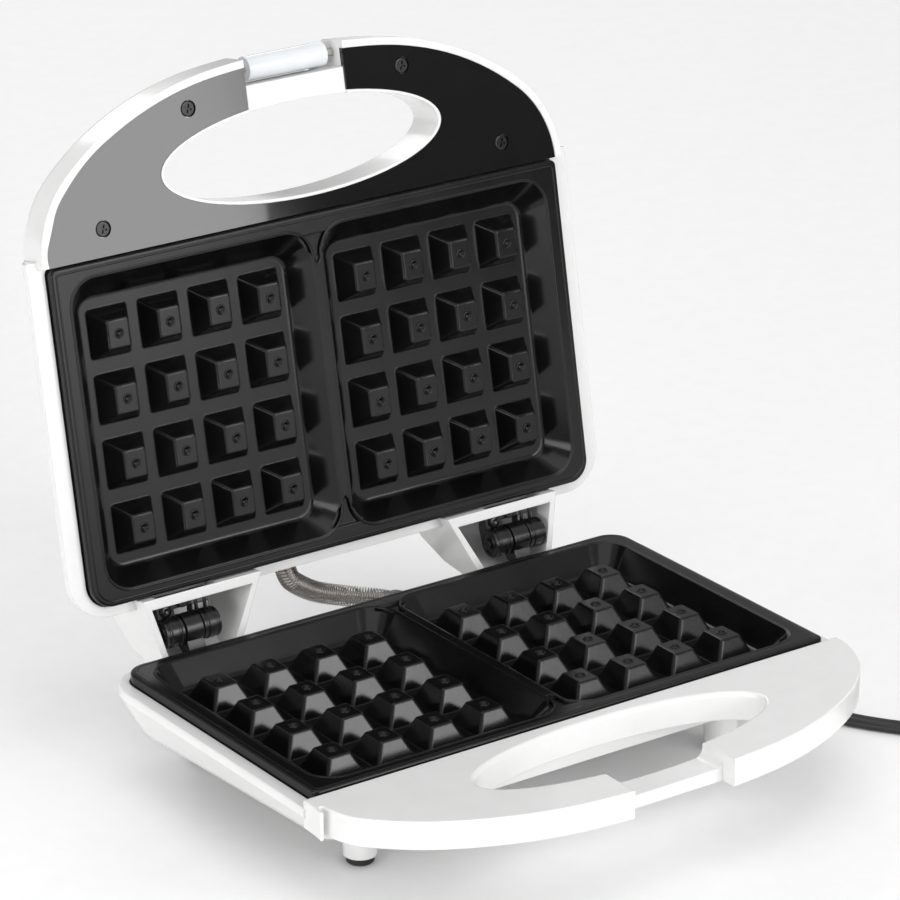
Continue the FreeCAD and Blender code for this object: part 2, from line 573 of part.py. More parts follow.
import Sketcher


def sk_rect(s, x0, y0, w, h, ew=None, eh=None):
    n = s.GeometryCount
    p = [V(x0, y0, 0), V(x0 + w, y0, 0), V(x0 + w, y0 + h, 0), V(x0, y0 + h, 0)]
    for i in range(4):
        s.addGeometry(Part.LineSegment(p[i], p[(i + 1) % 4]), False)
    for i in range(4):
        s.addConstraint(Sketcher.Constraint("Coincident", n + i, 2, n + (i + 1) % 4, 1))
    for i, k in enumerate(("Horizontal", "Vertical", "Horizontal", "Vertical")):
        s.addConstraint(Sketcher.Constraint(k, n + i))
    s.addConstraint(Sketcher.Constraint("DistanceX", -1, 1, n, 1, x0))
    s.addConstraint(Sketcher.Constraint("DistanceY", -1, 1, n, 1, y0))
    c = s.addConstraint(Sketcher.Constraint("DistanceX", n, 1, n, 2, w))
    if ew:
        s.setExpression("Constraints[%d]" % c, ew)
    c = s.addConstraint(Sketcher.Constraint("DistanceY", n + 1, 1, n + 1, 2, h))
    if eh:
        s.setExpression("Constraints[%d]" % c, eh)


def sk_circle(s, x, y, r, er=None):
    n = s.addGeometry(Part.Circle(V(x, y, 0), V(0, 0, 1), r), False)
    s.addConstraint(Sketcher.Constraint("DistanceX", -1, 1, n, 3, x))
    s.addConstraint(Sketcher.Constraint("DistanceY", -1, 1, n, 3, y))
    c = s.addConstraint(Sketcher.Constraint("Radius", n, r))
    if er:
        s.setExpression("Constraints[%d]" % c, er)


def sk_poly(s, pts):
    n = s.GeometryCount
    k = len(pts)
    for i in range(k):
        a, b = pts[i], pts[(i + 1) % k]
        s.addGeometry(Part.LineSegment(V(a[0], a[1], 0), V(b[0], b[1], 0)), False)
    for i in range(k):
        s.addConstraint(Sketcher.Constraint("Coincident", n + i, 2, n + (i + 1) % k, 1))
    for i in range(k):
        s.addConstraint(Sketcher.Constraint("DistanceX", -1, 1, n + i, 1, pts[i][0]))
        s.addConstraint(Sketcher.Constraint("DistanceY", -1, 1, n + i, 1, pts[i][1]))


def pad(body, sk, length, expr=None, mid=False, rev=False):
    f = body.newObject("PartDesign::Pad", body.Name + "_pad%d" % len(body.Group))
    f.Profile = sk
    f.Length = length
    if expr:
        f.setExpression("Length", expr)
    if mid:
        f.Midplane = True
    f.Reversed = rev
    doc.recompute()
    return f


def pocket(body, sk, length, mid=True, expr=None):
    before = body.Shape.Volume
    f = body.newObject("PartDesign::Pocket", body.Name + "_pocket%d" % len(body.Group))
    f.Profile = sk
    f.Length = length
    if expr:
        f.setExpression("Length", expr)
    f.Midplane = mid
    doc.recompute()
    if f.Shape.Volume >= before - 1e-3:
        raise RuntimeError(body.Name + ": pocket cut nothing")
    return f


# base hinge leaf: one middle knuckle on an arm that runs forward under the plate's rim
def hinge_base(sx):
    name = "hinge_base_left" if sx < 0 else "hinge_base_right"
    b = new_body(name)
    s = new_sketch(b, name + "_side", "YZ_Plane")
    ky, kz, kr = HY, HZ, d("knuckle_radius") - 0.5
    pts = [(56.2, z(-8.6)), (71.0, z(-8.6)), (ky + 2.0, z(-3.6)), (ky + 3.6, kz), (ky - 3.6, kz), (69.5, z(-4.4)), (62.6, z(-6.4)), (56.2, z(-6.4))]
    sk_poly(s, pts)
    pad(b, s, d("middle_width"), "dims.middle_width", mid=True)
    s2 = new_sketch(b, name + "_eye", "YZ_Plane")
    sk_circle(s2, ky, kz, kr, "dims.knuckle_radius - 0.5")
    pad(b, s2, d("middle_width"), "dims.middle_width", mid=True)
    s3 = new_sketch(b, name + "_foot", "XY_Plane")
    sk_rect(s3, -10, 56.2, 20.0, 6.8)
    s3.AttachmentOffset = FreeCAD.Placement(V(0, 0, z(-8.6)), FreeCAD.Rotation())
    pad(b, s3, d("hinge_leaf_thick"), "dims.hinge_leaf_thick")
    s4 = new_sketch(b, name + "_bore", "YZ_Plane")
    sk_circle(s4, ky, kz, d("hinge_pin_radius") + d("running_clearance"), "dims.hinge_pin_radius + dims.running_clearance")
    pocket(b, s4, 40)
    s5 = new_sketch(b, name + "_screw_holes", "XY_Plane")
    sk_circle(s5, -6.5, 59.6, 1.25)
    sk_circle(s5, 6.5, 59.6, 1.25)
    pocket(b, s5, 200)
    keep(b, name, "base", FreeCAD.Placement(V(sx * d("hinge_centre"), 0, 0), FreeCAD.Rotation()))


hinge_base(-1)
hinge_base(1)


# strain relief: flanged tapered rubber bush through the back wall
def strain_relief():
    b = new_body("strain_relief")
    s = new_sketch(b, "relief_half", "XY_Plane")
    L = d("relief_length")
    r0, r1 = d("relief_wall_radius"), d("relief_end_radius")
    sk_poly(s, [(0, -4.2), (5.9, -4.2), (5.9, -2.6), (4.5, -2.6), (4.5, 0.1), (6.4, 0.1), (6.4, 2.0), (r0, 2.2), (r1, L), (0, L)])
    f = b.newObject("PartDesign::Revolution", "relief_turn")
    f.Profile = s
    f.ReferenceAxis = (s, ["V_Axis"])
    f.Angle = 360
    doc.recompute()
    keep(b, "strain_relief", "base", FreeCAD.Placement(V(d("cord_exit_x"), d("base_back"), z(-d("cord_exit_drop"))), FreeCAD.Rotation()))


strain_relief()

# ---------------------------------------------------------------- power cord
EX = (d("cord_exit_x"), d("base_back") + d("relief_length"), z(-d("cord_exit_drop")))
CR = d("cord_solid_radius")
FL = CR + 0.1
CORD_ROUTE = [
    EX, (36.3, 104.0, 20.5), (40.0, 117.0, 14.0), (50.0, 127.5, 6.8), (66.0, 133.0, FL), (86.0, 131.0, FL), (104.5, 121.5, FL),
    (119.5, 106.0, FL), (129.5, 85.0, FL), (134.0, 61.0, FL), (133.0, 34.0, FL), (128.6, 5.0, FL), (125.0, -24.0, FL),
    (127.6, -50.5, FL), (141.0, -72.5, FL), (157.0, -90.0, FL),
]
cord = tube(run_path(CORD_ROUTE, "cord"), CR, "cord")
COIL = V(201.0, -84.0, 0)
ro, ri = d("coil_outer_radius"), d("coil_inner_radius")
coil_s = cyl(ro, d("coil_height"), V(COIL.x, COIL.y, 0.05)).cut(cyl(ri, 20, V(COIL.x, COIL.y, -5)))
cord = cord.cut(cyl(ro, 30, V(COIL.x, COIL.y, -10)))
# end of the last turn to the plug
ta = math.radians(0.0)
rt = 43.5
p_end = V(COIL.x + rt * math.cos(ta), COIL.y + rt * math.sin(ta), FL)
t_end = V(-math.sin(ta), math.cos(ta), 0)
tail0 = p_end + t_end * 12.0
tail = cyl(CR, 18.0, tail0, t_end).cut(cyl(ro, 30, V(COIL.x, COIL.y, -10)))
feature("power_cord", Part.makeCompound([cord, tail]), "base")
feature("cord_coil", coil_s, "base")
PLUG = tail0 + t_end * 18.0
PLUG_ROT = FreeCAD.Rotation(V(0, 0, 1), math.degrees(math.atan2(t_end.y, t_end.x)))


def plug():
    b = new_body("plug_body")
    s = new_sketch(b, "plug_side", "XY_Plane")
    L, W = d("plug_length"), d("plug_width")
    sk_poly(s, [(0, -4.0), (9, -4.6), (13, -W / 2 + 1), (17, -W / 2), (L + 8, -W / 2), (L + 8, W / 2), (17, W / 2), (13, W / 2 - 1), (9, 4.6), (0, 4.0)])
    f = pad(b, s, d("plug_thick"), "dims.plug_thick")
    keep(b, "plug_body", "base", FreeCAD.Placement(V(PLUG.x, PLUG.y, 0.1), PLUG_ROT))
    blades = []
    for n, sy in enumerate((-1, 1)):
        o = doc.addObject("Part::Box", "blade%d" % n)
        o.Length, o.Width, o.Height = d("blade_length"), d("blade_thick"), d("blade_width")
        o.setExpression("Length", "dims.blade_length")
        o.setExpression("Width", "dims.blade_thick")
        o.setExpression("Height", "dims.blade_width")
        o.Placement = FreeCAD.Placement(V(PLUG.x, PLUG.y, 0.1), PLUG_ROT).multiply(FreeCAD.Placement(V(L + 8, sy * 6.35 - d("blade_thick") / 2, (d("plug_thick") - d("blade_width")) / 2), FreeCAD.Rotation()))
        blades.append(o)
    keep(p_group("plug_blades", blades), "plug_blades", "base")


plug()

# ================================================================ LID GROUP (closed layout)
MZ = d("plate_gap") / 2.0          # parting plane, relative to the peg tops


def flip(shape):
    """Mirror a lower-plate shape into the lid, across the parting plane."""
    return shape.mirror(V(0, 0, z(MZ)), V(0, 0, 1))


def ear_solid(inset, low):
    """Tapering cover that reaches back over each hinge; symmetric pair."""
    out = []
    for sx in (-1, 1):
        a = inset
        pts = [(40.0 + a, 58.0), (55.5 + a, 89.5 - a), (87.0 - a, 89.5 - a), (94.0 - a, 58.0)]
        w = [V(sx * x, y, 0) for x, y in pts]
        f = Part.Face(Part.makePolygon(w + [w[0]]))
        s = f.extrude(V(0, 0, 60))
        s.translate(V(0, 0, z(low)))
        top = d("lid_high_back") - a
        prof = [V(-120, 50, z(low - 1)), V(-120, 89.5 - a, z(low - 1)), V(-120, 89.5 - a, z(11.0 - a)), V(-120, 84.0 - a, z(21.0 - a)), V(-120, 74.0 - a, z(27.5 - a)), V(-120, 60.0, z(30.0 - a)), V(-120, 50, z(30.0 - a))]
        q = Part.Face(Part.makePolygon(prof + [prof[0]])).extrude(V(240, 0, 0))
        out.append(s.common(q))
    return out


def make_upper_housing():
    w = d("shell_wall")
    g = d("plate_gap")
    # build upside down as a pan, then mirror: rim at lid_rim above the peg tops
    args = (d("lid_half_w"), d("base_front") - 1.5, d("base_back"), d("back_corner"), g - d("lid_rim"), d("lid_high_back") - g, d("lid_high_front") - g, d("lid_round"), d("lid_draft"))
    outer = flip(pan(*args, 0))
    inner = flip(pan(*args, w)).common(box(-200, 200, -64.7, 200, z(d("lid_rim") + 2.0), z(80)))
    mouth = slab(rrect(-hw_p - 0.5, hw_p + 0.5, yf_p - 0.6, yb_p + 0.5, (2.5, 2.5, rb_p + 0.5, rb_p + 0.5), 0), z(-3), z(d("lid_rim") + 3))
    grip = slab(d_wire(D_LID, 0, -65.0, 0), z(d("lid_lip")), z(d("lid_handle_top")))
    grip = try_fillet(grip, 5.0, lambda e: abs(e.BoundBox.ZMin - z(d("lid_handle_top"))) < 1e-4 and abs(e.BoundBox.ZMax - z(d("lid_handle_top"))) < 1e-4 and e.Length < 220)
    ears = ear_solid(0, -1.0)
    shell = outer.multiFuse([grip] + ears).cut([inner, mouth])
    shell = shell.cut(ellipse_slab(ha - 1.3, hb - 1.3, -20, 40))
    # seat of the black cover, and the hollow of the grip above it
    ins = d("cover_inset")
    seat = slab(d_wire(D_LID, ins - 0.1, -64.6, 0), z(-2), z(2.3 + d("cover_thick")))
    seat = seat.cut([ellipse_slab(ha - 0.1, hb - 0.1, -20, 40), box(-LH + 0.1, LH - 0.1, -130, -100, z(-20), z(40))])
    hollow = slab(d_wire(D_LID, ins + 1.5, -68.0, 0), z(-2), z(d("lid_handle_top") - 2.4))
    hollow = hollow.cut([ellipse_slab(ha + 1.6, hb + 1.6, -20, 40), box(-LH - 2.4, LH + 2.4, -130, -100, z(-20), z(40))])
    for sx, sy in HANDLE_SCREWS:
        hollow = hollow.cut(cyl(3.6, 30, V(sx, sy, z(2.3 + d("cover_thick")))))
    shell = shell.cut([seat, hollow])
    for sx, sy in HANDLE_SCREWS:
        shell = shell.cut(cyl(RS + 0.03, 9.0, V(sx, sy, z(2.2 + d("cover_thick")))))
    # latch recess in the front of the grip
    shell = shell.cut([box(-LH, LH, -130, -115.2, z(-5), z(15.4)), box(-LH, LH, -130, -118.6, z(-5), z(40)), box(-16.2, 16.2, -130, -113.9, z(11), z(40)), box(-LH, LH, -130, -100, z(-5), z(2.9))])
    shell = shell.cut(cyl(d("pin_radius"), 2 * (LH + 2.0), V(-LH - 2.0, d("latch_pin_y"), z(d("latch_pin_z"))), V(1, 0, 0)))
    # hollow ears, open at the bottom and towards the base
    for e in ear_solid(2.2, -3.0):
        shell = shell.cut(e.common(box(-200, 200, 66.0, 200, z(-10), z(80))))
    # slots in the back rim for the hinge brackets
    for sx in (-1, 1):
        hc = sx * d("hinge_centre")
        shell = shell.cut(box(hc - 13.4, hc + 13.4, 62.0, 74.0, z(0), z(10.5)))
        shell = shell.cut(cyl(1.45, 8.0, V(hc, 66.6, z(5.5))))
        shell = shell.cut(box(hc - 4.8, hc + 4.8, 85.2, 91.0, z(-3), z(2.8)))
    # exit of the spring guard and the two lamp windows
    shell = shell.cut(cyl(4.6, 8, V(-24.0, 62, z(13.0)), V(0, 1, 0)))
    for lx in (-9.0, 9.0):
        shell = shell.cut(cyl(d("lens_radius") - 0.9, 20, V(lx, -46, z(20))))
    return shell


feature("upper_housing", make_upper_housing(), "lid")
feature("upper_plate", flip(PLATE), "lid")

# black inner cover of the grip
cv = slab(d_wire(D_LID, d("cover_inset"), -64.9, 0), z(2.3), z(2.3 + d("cover_thick")))
cv = cv.cut([ellipse_slab(ha, hb, -20, 40), box(-LH, LH, -130, -100, z(-20), z(40))])
cv = try_fillet(cv, 0.6, lambda e: abs(e.BoundBox.ZMin - z(2.3)) < 1e-4 and abs(e.BoundBox.ZMax - z(2.3)) < 1e-4)
for sx, sy in HANDLE_SCREWS:
    cv = cv.cut([cyl(1.6, 10, V(sx, sy, z(0))), cyl(3.2, 2.3, V(sx, sy, z(1.2)))])
feature("handle_cover", cv, "lid")
screws("cover_screws", [(RH, 1.1, RS, 8.6, V(sx, sy, z(3.5)), V(0, 0, 1), 0.7) for sx, sy in HANDLE_SCREWS], "lid")

# heating element, straps, reflector and thermostat of the lid
g = d("plate_gap")
element(z(g - elz), "upper_heating_element", "lid")
straps = []
for n, sx in enumerate((-1, 1)):
    straps.append(p_box("up_strap%d" % n, sx * 86 - 12, sx * 86 + 12, -6, 6, z(g - (elz - er - 0.1)), z(g - (elz - er - 1.1))))
keep(p_group("upper_element_clamps", straps), "upper_element_clamps", "lid")
tray(0, 16.0, 206, 68, z(g - rz + 0.5), -1, "lid", "upper_reflector", holes=((0, 34, 7), (0, 6, 12)))
tu1 = p_cyl("th_up_disc", d("thermostat_radius"), 3.0, V(0, 6, z(g + d("peg_height") + d("plate_wall") + 0.1)), er="dims.thermostat_radius")
tu2 = p_cyl("th_up_body", 5.2, d("thermostat_height") - 3, V(0, 6, z(g + d("peg_height") + d("plate_wall") + 3.0)), eh="dims.thermostat_height - 2.9")
keep(p_fuse("upper_thermostat", [tu1, tu2]), "upper_thermostat", "lid")
fz = g + d("peg_height") + d("plate_wall") + 8.0
keep(p_cyl("thermal_fuse", 2.0, 12.0, V(24, 14, z(fz + 3.0)), V(1, 0, 0)), "thermal_fuse", "lid")

# lamp lenses in the lid, above the plate
slope_l = (d("lid_high_back") - d("lid_high_front")) / (d("base_back") - d("base_front") + 1.5)


def lid_top(y):
    return d("lid_high_back") - slope_l * (d("base_back") - y)


def lens(label, lx):
    b = new_body(label)
    s = new_sketch(b, label + "_half", "XZ_Plane")
    R = d("lens_radius")
    sk_poly(s, [(0, -5.0), (R - 1.0, -5.0), (R - 1.0, 0.15), (R, 0.15), (R, 0.9), (R - 0.8, 1.7), (R - 2.2, 2.2), (0, 2.4)])
    f = b.newObject("PartDesign::Revolution", label + "_turn")
    f.Profile = s
    f.ReferenceAxis = (s, ["V_Axis"])
    f.Angle = 360
    doc.recompute()
    keep(b, label, "lid", FreeCAD.Placement(V(lx, -46, z(lid_top(-46)) + 0.15), FreeCAD.Rotation()))


lens("indicator_lens_red", -9.0)
lens("indicator_lens_green", 9.0)
lamps = []
for n, lx in enumerate((-9.0, 9.0)):
    lamps.append(p_cyl("lamp%d" % n, 2.2, 4.5, V(lx, -46, z(lid_top(-46)) - 10.2)))
keep(p_group("indicator_lamps", lamps), "indicator_lamps", "lid")


# lid hinge bracket: screw plate with two round lugs
def hinge_lid(sx):
    name = "hinge_lid_left" if sx < 0 else "hinge_lid_right"
    b = new_body(name)
    kr = d("knuckle_radius") + 0.3
    s = new_sketch(b, name + "_lugs", "YZ_Plane")
    sk_circle(s, HY, HZ, kr, "dims.knuckle_radius + 0.3")
    pad(b, s, 2 * d("lug_width") + d("middle_width") + 1.2, "2*dims.lug_width + dims.middle_width + 1.2", mid=True)
    s = new_sketch(b, name + "_webs", "YZ_Plane")
    sk_poly(s, [(63.5, z(5.0)), (72.5, z(5.0)), (HY + 2.0, HZ), (HY + 5.0, HZ + 3.0), (HY + 2.5, HZ + 6.0), (71.0, z(9.8)), (63.5, z(8.2))])
    pad(b, s, 2 * d("lug_width") + d("middle_width") + 1.2, "2*dims.lug_width + dims.middle_width + 1.2", mid=True)
    s = new_sketch(b, name + "_gap", "XY_Plane")
    sk_rect(s, -(d("middle_width") + 0.8) / 2, 69.6, d("middle_width") + 0.8, 30.0, "dims.middle_width + 0.8")
    pocket(b, s, 200)
    s = new_sketch(b, name + "_bore", "YZ_Plane")
    sk_circle(s, HY, HZ, d("hinge_pin_radius"), "dims.hinge_pin_radius")
    pocket(b, s, 60)
    s = new_sketch(b, name + "_screw", "XY_Plane")
    sk_circle(s, 0, 66.6, 1.5)
    pocket(b, s, 200)
    keep(b, name, "lid", FreeCAD.Placement(V(sx * d("hinge_centre"), 0, 0), FreeCAD.Rotation()))


hinge_lid(-1)
hinge_lid(1)
pins = []
for n, sx in enumerate((-1, 1)):
    L = d("hinge_pin_length")
    pins.append(p_cyl("hpin%d" % n, d("hinge_pin_radius"), L, V(sx * d("hinge_centre") - L / 2, HY, HZ), V(1, 0, 0), er="dims.hinge_pin_radius", eh="dims.hinge_pin_length"))
keep(p_group("hinge_pins", pins), "hinge_pins", "lid")
screws("hinge_screws_upper", [(2.7, 1.3, 1.4, 7.0, V(sx * d("hinge_centre"), 66.6, z(5.0)), V(0, 0, 1), 0.8) for sx in (-1, 1)], "lid")
screws("hinge_screws_lower", [(2.2, 1.0, 1.2, 5.6, V(sx * d("hinge_centre") + e, 59.6, z(-8.6)), V(0, 0, 1), 0.5) for sx in (-1, 1) for e in (-6.5, 6.5)], "base")

# latch pin and latch clip
keep(p_cyl("latch_pin", d("pin_radius"), 2 * LH + 3.0, V(-LH - 1.5, d("latch_pin_y"), z(d("latch_pin_z"))), V(1, 0, 0), er="dims.pin_radius", eh="2*dims.latch_half_w + 3"), "latch_pin", "lid")


def latch():
    b = new_body("latch_clip")
    py, pz = d("latch_pin_y"), z(d("latch_pin_z"))
    t, L = d("latch_arm_thick"), d("latch_arm_length")
    s = new_sketch(b, "latch_arm", "YZ_Plane")
    lip, lt = d("latch_lip_depth"), d("latch_lip_thick")
    lean = math.radians(d("latch_lean"))

    def leaning(y, zz):
        dy, dz = y - py, zz - pz
        return (py + dy * math.cos(lean) + dz * math.sin(lean), pz - dy * math.sin(lean) + dz * math.cos(lean))
    sk_poly(s, [leaning(*q) for q in [(py - t / 2, pz), (py + t / 2, pz), (py + t / 2, pz + L), (py - lip, pz + L), (py - lip, pz + L - lt + 0.5), (py - t / 2 - 0.4, pz + L - lt)]])
    pad(b, s, d("latch_arm_width"), "dims.latch_arm_width", mid=True)
    s = new_sketch(b, "latch_bar", "YZ_Plane")
    sk_circle(s, py, pz, d("latch_bar_radius"), "dims.latch_bar_radius")
    pad(b, s, d("latch_bar_length"), "dims.latch_bar_length", mid=True)
    s = new_sketch(b, "latch_bore", "YZ_Plane")
    sk_circle(s, py, pz, d("pin_radius") + d("running_clearance"), "dims.pin_radius + dims.running_clearance")
    pocket(b, s, 80)
    keep(b, "latch_clip", "lid")


latch()

# ---------------------------------------------------------------- spring guard between lid and base (standing open)
def opened(x, y, zz):
    return LID.multVec(V(x, y, zz)) - V(0, d("y_shift"), 0)


g0 = opened(-24.0, d("base_back") - 1.0, z(13.0))
g1 = opened(-24.0, d("base_back") + 8.0, z(13.0))
GUARD_ROUTE = [tuple(g0), (g1.x, g1.y, g1.z), (-18.5, 91.5, z(-1.5)), (-5.0, 93.5, z(-8.0)), (9.0, 90.5, z(-11.0)), (19.0, 82.5, z(-12.0)), (22.0, 73.5, z(-12.0)), (22.0, d("base_back") - 1.5, z(-12.0))]
gp = run_path(GUARD_ROUTE, "guard", factor=0.48)
guard = tube(gp, d("guard_radius"), "guard").cut(tube(gp, d("guard_bore")))
feature("spring_guard", guard, "base")
feature("guard_wires", tube(gp, d("guard_wire_radius")), "base")


# ---------------------------------------------------------------- internal wires
def wires(label, routes, group, r=1.1):
    feature(label, Part.makeCompound([tube(run_path(p, factor=0.4), r) for p in routes]), group)


wires("lower_wiring", [
    [(58, 44.5, z(-20.9)), (50, 42.5, z(-21.0)), (36, 47, z(-20.6)), (22, 56.5, z(-17.0)), (13.0, 56.0, z(elz))],
    [(70, 44.5, z(-20.9)), (66, 40, z(-21.4)), (40, 35.5, z(-20.8)), (14, 20, z(-20.4)), (7.0, 12, z(-19.0))],
], "base")
wires("upper_wiring", [
    [(13.0, 56.0, z(g - elz)), (18, 58.5, z(g - elz + 3)), (30, 50, z(g + 21.0)), (38, 30, z(g + 21.6)), (37.5, 16, z(fz + 3.0))],
    [(-13.0, 56.0, z(g - elz)), (-15.5, 58.8, z(g - elz + 3)), (-21, 55.5, z(g + 20.2)), (-30, 40, z(g + 21.0)), (-30, -22, z(g + 20.4)), (-11, -44, z(g + 17.4))],
], "lid")

# ---------------------------------------------------------------- placing, checking, writing
doc.recompute()
for obj, label, group, local in NODES:
    p = local or FreeCAD.Placement()
    if obj.TypeId in ("Part::Cylinder", "Part::Cone", "Part::Box"):
        p = obj.Placement
    obj.Placement = (LID if group == "lid" else BASE).multiply(p)
doc.recompute()
for o in doc.Objects:
    bad = [s for s in o.State if s in ("Invalid", "Error")]
    if bad:
        raise RuntimeError("%s is %s" % (o.Name, bad))
os.makedirs("parts", exist_ok=True)
total = FreeCAD.BoundBox()
for obj, label, group, local in NODES:
    sh = obj.Shape
    if sh.isNull() or not sh.isValid() or not sh.Solids:
        raise RuntimeError("bad shape: " + label)
    bb = sh.BoundBox
    if label not in ("power_cord", "cord_coil", "plug_body", "plug_blades", "strain_relief"):
        total.add(bb)
    print("%-24s %2d solid(s) vol %10.1f  x %.1f..%.1f y %.1f..%.1f z %.1f..%.1f" % (label, len(sh.Solids), sh.Volume, bb.XMin, bb.XMax, bb.YMin, bb.YMax, bb.ZMin, bb.ZMax))
    sh.exportStep("parts/%s.step" % label)
print("object box x %.2f..%.2f y %.2f..%.2f z %.2f..%.2f  y centre %.3f" % (total.XMin, total.XMax, total.YMin, total.YMax, total.ZMin, total.ZMax, (total.YMin + total.YMax) / 2))
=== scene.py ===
import bpy
import bmesh
import json
import math
import random
import numpy as np
from mathutils import Vector, Matrix


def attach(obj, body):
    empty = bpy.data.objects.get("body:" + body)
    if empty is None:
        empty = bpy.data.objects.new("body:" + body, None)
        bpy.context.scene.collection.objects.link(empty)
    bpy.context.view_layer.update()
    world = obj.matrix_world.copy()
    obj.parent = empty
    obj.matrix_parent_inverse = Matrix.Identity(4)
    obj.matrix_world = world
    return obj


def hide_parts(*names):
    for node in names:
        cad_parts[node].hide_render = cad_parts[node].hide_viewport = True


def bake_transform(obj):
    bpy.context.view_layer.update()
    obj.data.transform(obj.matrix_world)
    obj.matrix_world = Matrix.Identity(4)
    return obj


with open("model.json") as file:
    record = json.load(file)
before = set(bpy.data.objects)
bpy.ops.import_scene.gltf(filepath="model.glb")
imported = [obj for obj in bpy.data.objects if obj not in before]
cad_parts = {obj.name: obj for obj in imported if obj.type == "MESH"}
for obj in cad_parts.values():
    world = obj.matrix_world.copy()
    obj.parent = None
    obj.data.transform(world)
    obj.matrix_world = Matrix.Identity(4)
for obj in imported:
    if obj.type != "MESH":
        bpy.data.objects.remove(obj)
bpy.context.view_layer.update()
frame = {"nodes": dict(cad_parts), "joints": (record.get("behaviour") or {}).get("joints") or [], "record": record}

random.seed(7)
NODE = frame["nodes"]

# ------------------------------------------------------------------ the layout
# Lengths below are millimetres in the plate's own layout: x across, y front to
# back with 0 at the middle of the pegs, zr above the tops of the lower pegs.
HINGE = next(j for j in frame["joints"] if j["name"] == "lid_hinge")
HY, HZ = 76.86, 44.17
YS = HINGE["pos_m"][1] * 1000.0 - HY
H0 = 41.4
OPEN = math.radians(100.572)
CO, SO = math.cos(OPEN), math.sin(OPEN)


def B(x, y, zr):
    """A point of the base, in metres."""
    return Vector((x, y + YS, H0 + zr)) / 1000.0


def L(x, y, zr):
    """A point of the lid, given in the closed layout, placed where the open lid holds it."""
    dy, dz = y - HY, H0 + zr - HZ
    return Vector((x, HY + dy * CO + dz * SO + YS, HZ - dy * SO + dz * CO)) / 1000.0


def R(x, y, zabs):
    """A point given with its height above the table."""
    return Vector((x, y + YS, zabs)) / 1000.0


# ------------------------------------------------------------------ camera
cam = bpy.data.objects.new("camera", bpy.data.cameras.new("camera"))
bpy.context.scene.collection.objects.link(cam)
cam.data.lens = 179.40
cam.data.sensor_width = 36.0
az, el, roll = -0.61255455, 0.37364646, -0.0045686
back = Vector((math.sin(az) * math.cos(el), -math.cos(az) * math.cos(el), math.sin(el)))
right0 = Vector((math.cos(az), math.sin(az), 0.0))
up0 = back.cross(right0)
right1 = right0 * math.cos(roll) + up0 * math.sin(roll)
up1 = up0 * math.cos(roll) - right0 * math.sin(roll)
m = Matrix.Identity(4)
for i in range(3):
    m[i][0], m[i][1], m[i][2] = right1[i], up1[i], back[i]
m.translation = Vector((-0.86194, -1.21234 + YS / 1000.0, 0.70483))
cam.matrix_world = m
cam.data.clip_start, cam.data.clip_end = 0.05, 20.0
bpy.context.scene.camera = cam


# ------------------------------------------------------------------ materials
def new_mat(name):
    mt = bpy.data.materials.new(name)
    mt.use_nodes = True
    nt = mt.node_tree
    return mt, nt, nt.nodes["Principled BSDF"]


def noise(nt, scale, detail=4.0, rough=0.55, coord="Object", dist=0.0):
    tc = nt.nodes.new("ShaderNodeTexCoord")
    n = nt.nodes.new("ShaderNodeTexNoise")
    n.inputs["Scale"].default_value = scale
    n.inputs["Detail"].default_value = detail
    n.inputs["Roughness"].default_value = rough
    n.inputs["Distortion"].default_value = dist
    nt.links.new(tc.outputs[coord], n.inputs["Vector"])
    return n.outputs["Fac"]


def ramp(nt, fac, lo, hi, a=0.3, b=0.7):
    r = nt.nodes.new("ShaderNodeMapRange")
    r.inputs["From Min"].default_value = a
    r.inputs["From Max"].default_value = b
    r.inputs["To Min"].default_value = lo
    r.inputs["To Max"].default_value = hi
    nt.links.new(fac, r.inputs["Value"])
    return r.outputs["Result"]


def tint(nt, fac, c0, c1, a=0.3, b=0.7):
    r = nt.nodes.new("ShaderNodeValToRGB")
    r.color_ramp.elements[0].position = a
    r.color_ramp.elements[1].position = b
    r.color_ramp.elements[0].color = (*c0, 1)
    r.color_ramp.elements[1].color = (*c1, 1)
    nt.links.new(fac, r.inputs["Fac"])
    return r.outputs["Color"]


def bump(nt, layers, edge=0.0):
    """Stacks height sources (fac, strength, distance) into one chain of bump nodes, over softened edges."""
    last = None
    if edge:
        bv = nt.nodes.new("ShaderNodeBevel")
        bv.samples = 6
        bv.inputs["Radius"].default_value = edge
        last = bv.outputs["Normal"]
    for fac, strength, dist in layers:
        bn = nt.nodes.new("ShaderNodeBump")
        bn.inputs["Strength"].default_value = strength
        bn.inputs["Distance"].default_value = dist
        nt.links.new(fac, bn.inputs["Height"])
        if last is not None:
            nt.links.new(last, bn.inputs["Normal"])
        last = bn.outputs["Normal"]
    return last


def finish_mat(nt, p, colour=None, rough=None, normal=None):
    if colour is not None:
        nt.links.new(colour, p.inputs["Base Color"])
    if rough is not None:
        nt.links.new(rough, p.inputs["Roughness"])
    if normal is not None:
        nt.links.new(normal, p.inputs["Normal"])


